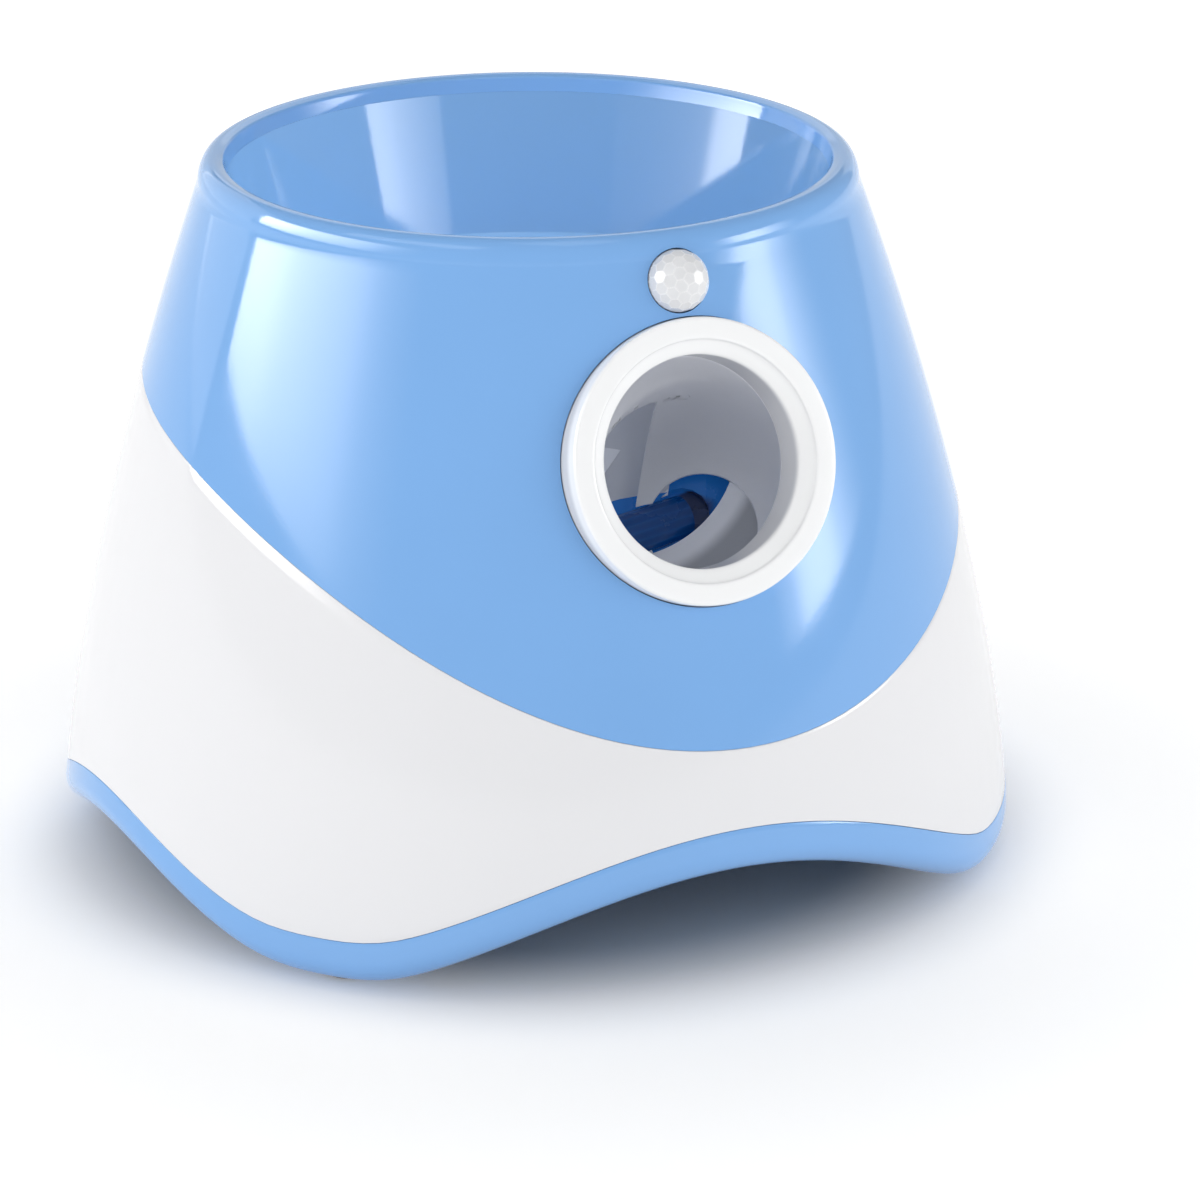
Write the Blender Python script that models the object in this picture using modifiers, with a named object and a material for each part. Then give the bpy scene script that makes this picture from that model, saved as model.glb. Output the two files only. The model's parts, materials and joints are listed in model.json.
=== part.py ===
"""Automatic ball launcher: a round tapered housing with a hopper on top and a muzzle in front.

Metres, +Z up, origin on the floor under the middle of the housing, muzzle towards -Y.
Angles around the housing are counted from the front (-Y) towards the right (+X).
"""

import math

import bmesh
import bpy
from mathutils import Matrix, Vector
from mathutils.geometry import convex_hull_2d

# Housing, driving dimensions
BODY_HEIGHT = 0.183
BASE_RADIUS = 0.125
DRAW_IN = 0.0427
DRAW_IN_POWER_SHARE = 1.55
LEAN_BACK = 0.0024
WALL = 0.0024
SEAM = 0.0003
OVERRUN = 0.004

# Seam between the upper shell and the side shell, as shares of the body's height:
# the mean, three waves that dip in front and two that lower the left side
SWOOP_SHARE = 0.5791
SWOOP_WAVE_SHARES = (0.1799, 0.0403, 0.0274)
SWOOP_LEAN_SHARES = (-0.0514, 0.0089)

# Base, its four feet and the arches between them
ARCH_FRONT = 0.0275
ARCH_SIDE = 0.0185
ARCH_FRONT_SHARE = 0.62
ARCH_SIDE_SHARE = 0.75
FOOT_START = math.radians(44.0)
FOOT_END = math.radians(56.0)
FOOT_LIFT = 0.0015
BAND_HEIGHT = 0.0121
BAND_ROLL = 0.008
UNDERSIDE_HEIGHT = 0.018
UNDERSIDE_START_SHARE = 0.68
PAD_RADIUS = 0.0075
PAD_SINK = 0.0022
PAD_INSET = 0.016
FOOT_BOSS_TOP = 0.009
FOOT_BOSS_RIM = 0.0022

# Screws through the base into the side shell
BASE_SCREW_INSET = 0.014
BASE_SCREW_TURN = math.radians(13.0)
SCREW_RADIUS = 0.0015
SCREW_HEAD_RADIUS = 0.0032
SCREW_HEAD = 0.0022
SCREW_LENGTH = 0.016
SCREW_BOSS_RADIUS = 0.0048
SCREW_BOSS = 0.003
POST_RADIUS = 0.004
POST_TOP = 0.046
POST_RIB = 0.0022

# Rim of the upper shell, its insets measured from the wall's radius at the top
RIM_START = 0.0065
RIM_CREST_IN = 0.0042
RIM_CREST_SHARE = 0.6
RIM_INNER_INSET = 0.0046
RIM_INNER_DROP = 0.0009
RIM_LIP = 0.0034

# Hopper bowl and its throat, their heights measured down from the top
HOPPER_WALL = 0.002
HOPPER_CORNER_INSET = 0.0148
HOPPER_CORNER_DROP = 0.0355
HOPPER_CORNER_TIP = 0.0022
HOPPER_BEND = 0.012
HOPPER_ROW_SHARES = (0.0, 0.25, 0.5, 0.75, 1.0)
THROAT_RADIUS = 0.029
THROAT_DROP = 0.047
THROAT_COLLAR = 0.0035

# Muzzle ring
MUZZLE_DROP = 0.0535
MUZZLE_PITCH = math.radians(18.0)
RING_RADIUS = 0.0353
RING_PROUD = 0.002
RING_DEPTH = 0.011
RING_WALL = 0.002
RING_EDGE = 0.0012
RING_STEP = 0.0022
RING_ROUND_SHARE = 0.3
BORE_RADIUS = 0.0262

# Launch cup behind the ring
LAUNCH_YAW = math.radians(26.2)
LAUNCH_PITCH = math.radians(31.0)
CUP_LENGTH = 0.0766
CUP_BODY_RADIUS = 0.0272
CUP_STRAIGHT = 0.046
CUP_BEND = 0.016
CUP_WALL = 0.0018
CUP_BEND_SHARES = (0.0, 0.35, 0.7, 1.0)
APERTURE_RADIUS = 0.0142
BALL_SEAT = 0.057

# Guard behind the right of the aperture, a dished crescent round a centre to the upper left
GUARD_RIM = 0.0028
GUARD_DEPTH = 0.005
GUARD_WALL = 0.0016
GUARD_LEFT = 0.0225
GUARD_UP = 0.0238
GUARD_EDGE_RADIUS = 0.0317
GUARD_RIDGE_RADIUS = 0.0352
GUARD_EDGE_DEPTH = 0.0022
GUARD_RIDGE_DEPTH = 0.0014

# Feed chute from the throat to the cup
CHUTE_RADIUS = 0.0272
CHUTE_PITCH = math.radians(9.0)
CHUTE_WALL = 0.0018
CHUTE_RUN = 0.0625
CHUTE_START = 0.016

# Kicker: its arm, and the plate and bar of its head, seen through the aperture
PIVOT_RISE = 0.0138
ARM_BEHIND_APERTURE = 0.0165
ARM_HALF_WIDTH = 0.004
ARM_WAIST = 0.0055
HUB_RADIUS = 0.0078
NECK_RADIUS = 0.0068
PLATE_DEPTH = 0.0056
HEAD_PLATE = 0.0056
HEAD_PLATE_RADIUS = 0.019
HEAD_PLATE_LEFT = 0.008
HEAD_PLATE_UP = 0.002
HEAD_FACET_RIGHT = 0.001
HEAD_FACET_TILT = math.radians(14.0)
BAR_RADIUS = 0.0057
BAR_LENGTH = 0.024
BAR_LEFT = 0.0052
BAR_UP = 0.0045
BAR_DEPTH = 0.0082
BAR_TURN = math.radians(25.0)
BAR_LIFT = math.radians(27.0)
BAR_POCKET_RADIUS = 0.0071
BAR_POCKET_DEPTH = 0.0042
NOTCH_CLEARANCE = 0.0008
KICKER_AXLE_RADIUS = 0.002
RUNNING_GAP = 0.0003

# Gear train, in teeth and one module
MODULE = 0.00125
KICKER_TEETH = 18
SECTOR_TEETH = 34
PINION_TEETH = 10
WHEEL_TEETH = 26
STROKE_TEETH = 5
SECTOR_DIRECTION = math.radians(25.0)
SECOND_DIRECTION = math.radians(20.0)
FIRST_DIRECTION = math.radians(-25.0)
MOTOR_DIRECTION = math.radians(-30.0)
POST_DIRECTION = math.radians(60.0)
FACE_WIDTH = 0.004
PLANE_PITCH = 0.005
MESH_CLEARANCE = 0.0001
TOOTH_TIP_SHARE = 0.85
TOOTH_ROOT_SHARE = 1.05
TOOTH_FLANK_SHARES = (-0.34, -0.13, 0.13, 0.34)
GEAR_AXLE_RADIUS = 0.0015
SECTOR_HUB_RADIUS = 0.0067
PLATE = 0.002
INNER_PLATE_SIDE = 0.014
PLATE_GAP = 0.001
PLATE_MARGIN = 0.0065
BRACKET_SIDE = -0.016
BUMPER_RADIUS = 0.003
BUMPER_SHARE = 0.52
FRONT_POST_SHARE = 0.5
BACK_POST_SHARE = 0.35
FLOOR_CLEARANCE = 0.0003
GEARBOX_POST_RADIUS = 0.0024

# Kicker spring
SPRING_WIRE = 0.0007
SPRING_RADIUS = 0.0064
SPRING_TURNS = 3
SPRING_PITCH = 0.0021
SPRING_POINTS = 9
SPRING_LEG = 0.016
SPRING_PEG_RADIUS = 0.0014
SPRING_PEG_SHARE = 0.75

# Motor
MOTOR_RADIUS = 0.0122
MOTOR_LENGTH = 0.0308
MOTOR_BOSS_RADIUS = 0.0031
MOTOR_BOSS = 0.0016
MOTOR_SHAFT_RADIUS = 0.001

# Battery compartment, cells along Y
CELL_RADIUS = 0.0131
CELL_LENGTH = 0.05
CELL_BUTTON_RADIUS = 0.0033
CELL_BUTTON = 0.0015
CELL_GAP = 0.0006
BOX_WALL = 0.0018
BOX_CENTRE_X = -0.046
BOX_CENTRE_Y = 0.002
CONTACT = 0.0004
DOOR = 0.0022
DOOR_GAP = 0.0004
LATCH_LENGTH = 0.016

# Rear control panel
PANEL_LOW = 0.078
PANEL_HIGH = 0.114
PANEL_HALF_ANGLE = math.radians(16.0)
PANEL_PROUD = 0.0012
BUTTON_RADIUS = 0.0085
BUTTON_PROUD = 0.0022
BUTTON_DEPTH = 0.006
BUTTON_GAP = 0.0004
BUTTON_TRAVEL = 0.0015
BUTTON_ANGLE = math.radians(7.0)
BUTTON_RISE = 0.011
BUTTON_CROWN_SHARE = 0.8
BUTTON_CROWN_HEIGHT_SHARE = 0.85
LENS_RADIUS = 0.0016
LENS_PROUD = 0.0005
LENS_LENGTH = 0.0062
LENS_DROP = 0.0085
LENS_ANGLE_STEP = math.radians(5.5)
LENS_COUNT = 3

# Power inlet
JACK_HEIGHT = 0.063
JACK_RADIUS = 0.0055
JACK_LENGTH = 0.014
JACK_LIP_RADIUS = 0.0074
JACK_LIP = 0.0012
JACK_BORE_RADIUS = 0.0031
JACK_BORE = 0.0095
JACK_PIN_RADIUS = 0.001

# Circuit board behind the panel, standing on the base
BOARD = 0.0016
BOARD_WIDTH = 0.064
BOARD_ABOVE_PANEL = 0.004
BOARD_BEHIND_WALL = 0.0172
BOARD_LIFT = 0.0015
BUZZER_RADIUS = 0.006
BUZZER_LENGTH = 0.0062
BUZZER_HEIGHT = 0.046

# Motion sensor over the muzzle
SENSOR_DROP = 0.0115
DOME_RADIUS = 0.0077
DOME_WALL = 0.0012
DOME_RISE = 0.0068
DOME_SKIRT = 0.0016
SENSOR_CAN_RADIUS = 0.0042
SENSOR_CAN_LENGTH = 0.0038
SENSOR_BOARD = 0.001
SENSOR_BOARD_WIDTH = 0.019
SENSOR_BOARD_TALL = 0.0125

# Facets
BODY_STEPS = 44
HOPPER_STEPS = 32
CUP_STEPS = 24
ROUND_STEPS = 16
SMALL_STEPS = 10
DISC_STEPS = 36

COLOURS = {
    "sky_plastic": ((0.195, 0.42, 0.80), 0.16, 0.0),
    "white_plastic": ((0.87, 0.87, 0.88), 0.18, 0.0),
    "lens_plastic": ((0.90, 0.91, 0.93), 0.28, 0.0),
    "royal_plastic": ((0.010, 0.12, 0.52), 0.30, 0.0),
    "natural_nylon": ((0.78, 0.76, 0.70), 0.42, 0.0),
    "steel": ((0.56, 0.57, 0.58), 0.30, 1.0),
    "rubber": ((0.03, 0.03, 0.035), 0.75, 0.0),
    "circuit_board": ((0.02, 0.16, 0.07), 0.40, 0.0),
    "cell_jacket": ((0.05, 0.06, 0.08), 0.35, 0.0),
    "dark_plastic": ((0.04, 0.045, 0.05), 0.45, 0.0),
}


def clear_scene():
    for obj in list(bpy.data.objects):
        bpy.data.objects.remove(obj, do_unlink=True)


def make_collection(name):
    found = bpy.data.collections.new(name)
    bpy.context.scene.collection.children.link(found)
    return found


clear_scene()
PARTS = make_collection("ball_launcher")
CUTTERS = make_collection("cutters")
CUTTERS.hide_render = True


def material(name):
    found = bpy.data.materials.get(name)
    if found:
        return found
    colour, roughness, metallic = COLOURS[name]
    found = bpy.data.materials.new(name)
    found.use_nodes = True
    shader = found.node_tree.nodes["Principled BSDF"]
    shader.inputs["Base Color"].default_value = (*colour, 1.0)
    shader.inputs["Roughness"].default_value = roughness
    shader.inputs["Metallic"].default_value = metallic
    found.diffuse_color = (*colour, 1.0)
    return found


def put(name, mesh, finish=None, parent=None, matrix=None):
    """Adds a mesh as a part, or as a hidden cutter when it has no finish."""
    obj = bpy.data.objects.new(name, mesh)
    if finish:
        mesh.materials.append(material(finish))
        PARTS.objects.link(obj)
    else:
        CUTTERS.objects.link(obj)
        obj.hide_render = True
        obj.display_type = "WIRE"
    if parent:
        obj.parent = parent
    if matrix:
        obj.matrix_basis = matrix
    return obj


def finish_mesh(name, form, crease=math.radians(32.0)):
    mesh = bpy.data.meshes.new(name)
    form.to_mesh(mesh)
    form.free()
    mesh.shade_smooth()
    mesh.set_sharp_from_angle(angle=crease)
    return mesh


def lofted(name, rows, inside, finish=None, parent=None, closed=True):
    """An open skin over rows of points, with its faces turned away from the point inside."""
    form = bmesh.new()
    grid = [[form.verts.new(point) for point in row] for row in rows]
    count = len(rows[0])
    for upper, lower in zip(grid, grid[1:]):
        for j in range(count if closed else count - 1):
            k = (j + 1) % count
            form.faces.new((upper[j], upper[k], lower[k], lower[j]))
    bmesh.ops.remove_doubles(form, verts=form.verts, dist=SEAM / 10)
    form.normal_update()
    outward = sum((face.calc_center_median() - Vector(inside)).dot(face.normal) for face in form.faces)
    if outward < 0:
        bmesh.ops.reverse_faces(form, faces=form.faces)
    return put(name, finish_mesh(name, form), finish, parent)


def thicken(obj, wall, outwards=False):
    modifier = obj.modifiers.new("wall", "SOLIDIFY")
    modifier.thickness = wall
    modifier.offset = 1.0 if outwards else -1.0
    modifier.use_even_offset = True
    return obj


def combine(obj, other, operation):
    modifier = obj.modifiers.new(other.name, "BOOLEAN")
    modifier.operation = operation
    modifier.object = other
    modifier.solver = "EXACT"
    return obj


def cut(obj, *cutters):
    for cutter in cutters:
        combine(obj, cutter, "DIFFERENCE")
    return obj


def join(obj, *pieces):
    for piece in pieces:
        combine(obj, piece, "UNION")
    return obj


def along(start, end):
    """A matrix at start whose +Z points to end."""
    start, end = Vector(start), Vector(end)
    turn = (end - start).to_track_quat("Z", "Y").to_matrix().to_4x4()
    return Matrix.Translation(start) @ turn


def rod(name, radius, start, end, finish=None, parent=None, steps=SMALL_STEPS, end_radius=None):
    """A cylinder or cone from start to end."""
    form = bmesh.new()
    length = (Vector(end) - Vector(start)).length
    bmesh.ops.create_cone(
        form,
        cap_ends=True,
        segments=steps,
        radius1=radius,
        radius2=radius if end_radius is None else end_radius,
        depth=length,
    )
    bmesh.ops.translate(form, verts=form.verts, vec=(0, 0, length / 2))
    return put(name, finish_mesh(name, form), finish, parent, along(start, end))


def block(name, size, centre, finish=None, parent=None, matrix=None):
    form = bmesh.new()
    bmesh.ops.create_cube(form, size=1.0)
    bmesh.ops.scale(form, verts=form.verts, vec=size)
    place = (matrix or Matrix()) @ Matrix.Translation(Vector(centre))
    return put(name, finish_mesh(name, form), finish, parent, place)


def turned(name, profile, finish=None, parent=None, matrix=None, steps=ROUND_STEPS, closed=True):
    """A Screw about local Z of (radius, height) points, which run down the outer side."""
    form = bmesh.new()
    points = [form.verts.new((radius, 0, height)) for radius, height in profile]
    for first, second in zip(points, points[1:]):
        form.edges.new((first, second))
    if closed:
        form.edges.new((points[-1], points[0]))
    obj = put(name, finish_mesh(name, form), finish, parent, matrix)
    screw = obj.modifiers.new("turn", "SCREW")
    screw.steps = steps
    screw.render_steps = steps
    screw.use_merge_vertices = True
    screw.merge_threshold = SEAM / 10
    return obj


def slab(name, outline, low, high, finish=None, parent=None, matrix=None):
    """A flat outline in local YZ, thick from low to high along local X."""
    form = bmesh.new()
    face = form.faces.new([form.verts.new((low, y, z)) for y, z in outline])
    out = bmesh.ops.extrude_face_region(form, geom=[face])
    moved = [item for item in out["geom"] if isinstance(item, bmesh.types.BMVert)]
    bmesh.ops.translate(form, verts=moved, vec=(high - low, 0, 0))
    bmesh.ops.recalc_face_normals(form, faces=form.faces)
    return put(name, finish_mesh(name, form), finish, parent, matrix)


# Form of the housing


def body_radius(z):
    share = max(z, 0.0) / BODY_HEIGHT
    return BASE_RADIUS - DRAW_IN * share**DRAW_IN_POWER_SHARE


def body_slope(z):
    """Angle by which the wall's outward normal looks up."""
    share = z / BODY_HEIGHT
    rate = DRAW_IN / BODY_HEIGHT * DRAW_IN_POWER_SHARE * share ** (DRAW_IN_POWER_SHARE - 1)
    return math.atan(rate)


def ring_point(angle, radius, z):
    lean = LEAN_BACK * (z / BODY_HEIGHT) ** 2
    return Vector((radius * math.sin(angle), lean - radius * math.cos(angle), z))


def body_point(angle, z, inset=0.0):
    return ring_point(angle, body_radius(z) - inset, z)


def wall_frame(angle, z, pitch=None):
    """A frame on the wall: local Z out of it, local X to its right as seen from outside."""
    tilt = body_slope(z) if pitch is None else pitch
    out = Vector(
        (
            math.sin(angle) * math.cos(tilt),
            -math.cos(angle) * math.cos(tilt),
            math.sin(tilt),
        )
    )
    right = Vector((math.cos(angle), math.sin(angle), 0))
    up = out.cross(right)
    frame = Matrix((right, up, out)).transposed().to_4x4()
    return Matrix.Translation(body_point(angle, z)) @ frame


def swoop(angle):
    """Height of the seam between the upper shell and the side shell."""
    waves = sum(share * math.cos(k * angle) for k, share in enumerate(SWOOP_WAVE_SHARES, 1))
    lean = sum(share * math.sin(k * angle) for k, share in enumerate(SWOOP_LEAN_SHARES, 1))
    return BODY_HEIGHT * (SWOOP_SHARE - waves + lean)


def base_edge(angle):
    """Height of the base's lower edge: two high arches, two low ones and four flat feet."""
    away = abs((angle + math.pi) % math.tau - math.pi)
    away = min(away, math.pi - away)
    if away < FOOT_START:
        wave = (1 + math.cos(math.pi * away / FOOT_START)) / 2
        return FOOT_LIFT + ARCH_FRONT * wave**ARCH_FRONT_SHARE
    if away < FOOT_END:
        return FOOT_LIFT
    to_side = math.pi / 2 - FOOT_END
    wave = (1 + math.cos(math.pi * (math.pi / 2 - away) / to_side)) / 2
    return FOOT_LIFT + ARCH_SIDE * wave**ARCH_SIDE_SHARE


def band_top(angle):
    return base_edge(angle) + BAND_HEIGHT


def smooth(share):
    share = min(max(share, 0.0), 1.0)
    return share * share * (3 - 2 * share)


def mix(first, second, share):
    return first + (second - first) * share


PAD_RING = BASE_RADIUS - PAD_INSET
BASE_SCREW_RING = BASE_RADIUS - BASE_SCREW_INSET
RIM_INNER_RADIUS = BASE_RADIUS - DRAW_IN - RIM_INNER_INSET
HOPPER_CORNER_RADIUS = BASE_RADIUS - DRAW_IN - HOPPER_CORNER_INSET
HOPPER_CORNER_HEIGHT = BODY_HEIGHT - HOPPER_CORNER_DROP
THROAT_HEIGHT = BODY_HEIGHT - THROAT_DROP
MUZZLE_HEIGHT = BODY_HEIGHT - MUZZLE_DROP
SENSOR_HEIGHT = BODY_HEIGHT - SENSOR_DROP
BUTTON_HEIGHT = PANEL_LOW + BUTTON_RISE
LENS_HEIGHT = PANEL_HIGH - LENS_DROP
FOOT_ANGLE = (FOOT_START + FOOT_END) / 2
FOOT_ANGLES = (FOOT_ANGLE, math.pi - FOOT_ANGLE, math.pi + FOOT_ANGLE, -FOOT_ANGLE)

ANGLES = [math.tau * k / BODY_STEPS for k in range(BODY_STEPS)]
BODY_MIDDLE = (0, 0, BODY_HEIGHT / 2)


def underside(angle, radius_share):
    """Height of the base's underside at a share of the edge radius."""
    start = 1 - BAND_ROLL / BASE_RADIUS
    inward = (start - radius_share) / (start - UNDERSIDE_START_SHARE)
    return mix(base_edge(angle), UNDERSIDE_HEIGHT, smooth(inward))


# Shells


def make_base_tray():
    roll_angles = [math.pi / 2 * k / 3 for k in range(4)]
    start = 1 - BAND_ROLL / BASE_RADIUS
    shares = [mix(start, UNDERSIDE_START_SHARE, k / 3) for k in range(1, 4)]
    rows = [[body_point(a, band_top(a)) for a in ANGLES]]
    for turn in roll_angles:
        inset = BAND_ROLL * (1 - math.cos(turn))
        rise = BAND_ROLL * (1 - math.sin(turn))
        rows.append([body_point(a, base_edge(a) + rise, inset) for a in ANGLES])
    for share in shares:
        row = []
        for a in ANGLES:
            z = underside(a, share)
            row.append(ring_point(a, body_radius(z) * share, z))
        rows.append(row)
    centre = Vector((0, LEAN_BACK * (UNDERSIDE_HEIGHT / BODY_HEIGHT) ** 2, UNDERSIDE_HEIGHT))
    rows.append([centre for _ in ANGLES])
    tray = thicken(lofted("base_tray", rows, BODY_MIDDLE, "sky_plastic"), WALL)
    for number, angle in enumerate(FOOT_ANGLES, 1):
        seat = ring_point(angle, PAD_RING, FOOT_LIFT)
        top = Vector((seat.x, seat.y, FOOT_BOSS_TOP))
        boss = rod(f"foot_boss_{number}", PAD_RADIUS + FOOT_BOSS_RIM, seat, top, steps=ROUND_STEPS)
        low = Vector((seat.x, seat.y, -OVERRUN))
        high = Vector((seat.x, seat.y, FOOT_LIFT + PAD_SINK))
        pocket = rod(f"pad_pocket_{number}", PAD_RADIUS + SEAM, low, high, steps=ROUND_STEPS)
        seat = screw_seat(angle)
        screw_boss = rod(f"screw_boss_{number}", SCREW_BOSS_RADIUS, seat - up(WALL / 2), seat + up(SCREW_BOSS))
        head_room = rod(f"screw_recess_{number}", SCREW_HEAD_RADIUS + SEAM, seat - up(4 * WALL), seat)
        join(tray, boss, screw_boss)
        cut(tray, pocket, head_room, screw_hole(number, angle))
    return tray


def up(height):
    return Vector((0, 0, height))


def screw_seat(angle):
    """Where the screw's head stops, in a recess of the tray beside the foot."""
    turned_angle = angle + BASE_SCREW_TURN
    spot = ring_point(turned_angle, BASE_SCREW_RING, 0)
    share = BASE_SCREW_RING / BASE_RADIUS
    return Vector((spot.x, spot.y, underside(turned_angle, share) + WALL))


def screw_hole(number, angle):
    seat = screw_seat(angle)
    return rod(f"screw_hole_{number}", SCREW_RADIUS + SEAM, seat - up(SCREW_HEAD), seat + up(2 * SCREW_LENGTH))


def make_base_screws():
    for number, angle in enumerate(FOOT_ANGLES, 1):
        seat = screw_seat(angle)
        head_top = seat.z - SEAM
        profile = [
            (0, head_top + SCREW_LENGTH),
            (SCREW_RADIUS, head_top + SCREW_LENGTH - SCREW_RADIUS),
            (SCREW_RADIUS, head_top),
            (SCREW_HEAD_RADIUS, head_top),
            (SCREW_HEAD_RADIUS, head_top - SCREW_HEAD / 2),
            (SCREW_RADIUS, head_top - SCREW_HEAD),
            (0, head_top - SCREW_HEAD),
        ]
        place = Matrix.Translation((seat.x, seat.y, 0))
        turned(f"base_screw_{number}", profile, "steel", None, place, SMALL_STEPS, closed=False)


def make_foot_pads():
    for number, angle in enumerate(FOOT_ANGLES, 1):
        spot = ring_point(angle, PAD_RING, 0)
        top = FOOT_LIFT + PAD_SINK - SEAM
        edge = FOOT_LIFT / 3
        profile = [
            (0, top),
            (PAD_RADIUS, top),
            (PAD_RADIUS, edge),
            (PAD_RADIUS - edge, 0),
            (0, 0),
        ]
        place = Matrix.Translation((spot.x, spot.y, 0))
        turned(f"foot_pad_{number}", profile, "rubber", None, place, ROUND_STEPS, closed=False)


def make_side_shell():
    row_count = 4
    rows = []
    for k in range(row_count):
        share = k / (row_count - 1)
        row = []
        for a in ANGLES:
            low = band_top(a) + SEAM
            high = swoop(a) - SEAM
            row.append(body_point(a, mix(low, high, share)))
        rows.append(row)
    shell = thicken(lofted("side_shell", rows, BODY_MIDDLE, "white_plastic"), WALL)
    for number, angle in enumerate(FOOT_ANGLES, 1):
        add_screw_post(shell, number, angle)
    return cut(shell, jack_hole(), panel_window())


def add_screw_post(shell, number, angle):
    """A hollow post over the tray's screw boss, held by a rib that runs out to the wall."""
    foot = screw_seat(angle) + up(SCREW_BOSS + SEAM)
    head = Vector((foot.x, foot.y, POST_TOP))
    post = rod(f"post_{number}", POST_RADIUS, foot, head)
    turned_angle = angle + BASE_SCREW_TURN
    rib_low = band_top(turned_angle) + WALL
    rib_length = body_radius(POST_TOP) - WALL / 2 - BASE_SCREW_RING
    place = Matrix.Translation(foot) @ Matrix.Rotation(turned_angle, 4, "Z")
    middle = (rib_low + POST_TOP) / 2 - foot.z
    rib = block(f"post_rib_{number}", (POST_RIB, rib_length, POST_TOP - rib_low), (0, -rib_length / 2, middle), matrix=place)
    hole = rod(f"post_hole_{number}", SCREW_RADIUS + SEAM, foot - up(OVERRUN), foot + up(SCREW_LENGTH))
    return cut(join(shell, post, rib), hole)


def make_upper_shell():
    wall_rows = 5
    top = BODY_HEIGHT - RIM_START
    rows = []
    for k in range(wall_rows):
        share = k / (wall_rows - 1)
        rows.append([body_point(a, mix(swoop(a), top, share)) for a in ANGLES])
    crest_radius = body_radius(top) - RIM_CREST_IN
    for turn in [math.pi / 6 * k for k in range(1, 4)]:
        radius = body_radius(top) - RIM_CREST_IN * (1 - math.cos(turn))
        z = top + RIM_START * math.sin(turn)
        rows.append([ring_point(a, radius, z) for a in ANGLES])
    shoulder = mix(crest_radius, RIM_INNER_RADIUS, RIM_CREST_SHARE)
    rows.append([ring_point(a, shoulder, BODY_HEIGHT) for a in ANGLES])
    edge = BODY_HEIGHT - RIM_INNER_DROP
    rows.append([ring_point(a, RIM_INNER_RADIUS, edge) for a in ANGLES])
    rows.append([ring_point(a, RIM_INNER_RADIUS, edge - RIM_LIP) for a in ANGLES])
    shell = thicken(lofted("upper_shell", rows, BODY_MIDDLE, "sky_plastic"), WALL)
    frame = wall_frame(0, MUZZLE_HEIGHT, MUZZLE_PITCH)
    hole = rod(
        "muzzle_hole",
        RING_RADIUS + SEAM,
        frame @ Vector((0, 0, -RING_DEPTH * 2)),
        frame @ Vector((0, 0, OVERRUN)),
        steps=DISC_STEPS,
    )
    seat = wall_frame(0, SENSOR_HEIGHT)
    sensor_hole = rod(
        "sensor_hole",
        DOME_RADIUS + SEAM,
        seat @ Vector((0, 0, -WALL - OVERRUN)),
        seat @ Vector((0, 0, OVERRUN)),
        steps=ROUND_STEPS,
    )
    return cut(shell, hole, sensor_hole)


def throat_centre():
    """Plan position of the hopper's throat, above the chute's far end."""
    spot = launch_to_world() @ chute_point(CHUTE_RUN)
    return Vector((spot.x, spot.y, THROAT_HEIGHT))


def make_hopper():
    centre = throat_centre()
    top = BODY_HEIGHT - RIM_INNER_DROP - RIM_LIP - SEAM
    angles = [math.tau * k / HOPPER_STEPS for k in range(HOPPER_STEPS)]

    def corner(a):
        return ring_point(a, HOPPER_CORNER_RADIUS, HOPPER_CORNER_HEIGHT + HOPPER_CORNER_TIP * math.cos(a))

    def above(a):
        return ring_point(a, RIM_INNER_RADIUS, top)

    def throat(a, z):
        spoke = Vector((math.sin(a), -math.cos(a), 0)) * THROAT_RADIUS
        return Vector((centre.x, centre.y, z)) + spoke

    bend_share = HOPPER_BEND / (top - HOPPER_CORNER_HEIGHT)
    rows = [[above(a) for a in angles]]
    rows.append([above(a).lerp(corner(a).lerp(above(a), bend_share), 1 / 2) for a in angles])
    for share in HOPPER_ROW_SHARES:
        row = []
        for a in angles:
            start = corner(a).lerp(above(a), bend_share)
            end = throat(a, THROAT_HEIGHT)
            first = start.lerp(corner(a), share)
            row.append(first.lerp(corner(a).lerp(end, share), share))
        rows.append(row)
    rows.append([throat(a, THROAT_HEIGHT - THROAT_COLLAR) for a in angles])
    above_bowl = (centre.x, centre.y, BODY_HEIGHT)
    bowl = lofted("hopper_bowl", rows, above_bowl, "sky_plastic")
    return thicken(bowl, HOPPER_WALL, outwards=True)


# Muzzle, cup and chute


def make_muzzle_ring():
    lip = BORE_RADIUS + RING_STEP
    back = -RING_DEPTH
    face = RING_PROUD
    profile = [
        (RING_RADIUS - RING_EDGE, face),
        (RING_RADIUS - RING_EDGE * RING_ROUND_SHARE, face - RING_EDGE * RING_ROUND_SHARE),
        (RING_RADIUS, face - RING_EDGE),
        (RING_RADIUS, back),
        (RING_RADIUS - RING_WALL, back),
        (RING_RADIUS - RING_WALL, face - RING_WALL),
        (BORE_RADIUS + RING_WALL, face - RING_WALL),
        (BORE_RADIUS + RING_WALL, back),
        (BORE_RADIUS, back),
        (BORE_RADIUS, face - RING_STEP),
        (mix(BORE_RADIUS, lip, RING_ROUND_SHARE), face - RING_STEP * RING_ROUND_SHARE),
        (lip, face),
    ]
    frame = wall_frame(0, MUZZLE_HEIGHT, MUZZLE_PITCH)
    return turned("muzzle_ring", profile, "white_plastic", None, frame, DISC_STEPS)


LAUNCH = bpy.data.objects.new("launch_axis", None)
PARTS.objects.link(LAUNCH)


def launch_to_world():
    """The launch frame: origin on the floor under the muzzle, local Y inwards along the cup."""
    foot = body_point(0, MUZZLE_HEIGHT)
    return Matrix.Translation((foot.x, foot.y, 0)) @ Matrix.Rotation(-LAUNCH_YAW, 4, "Z")


LAUNCH.matrix_world = launch_to_world()

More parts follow.
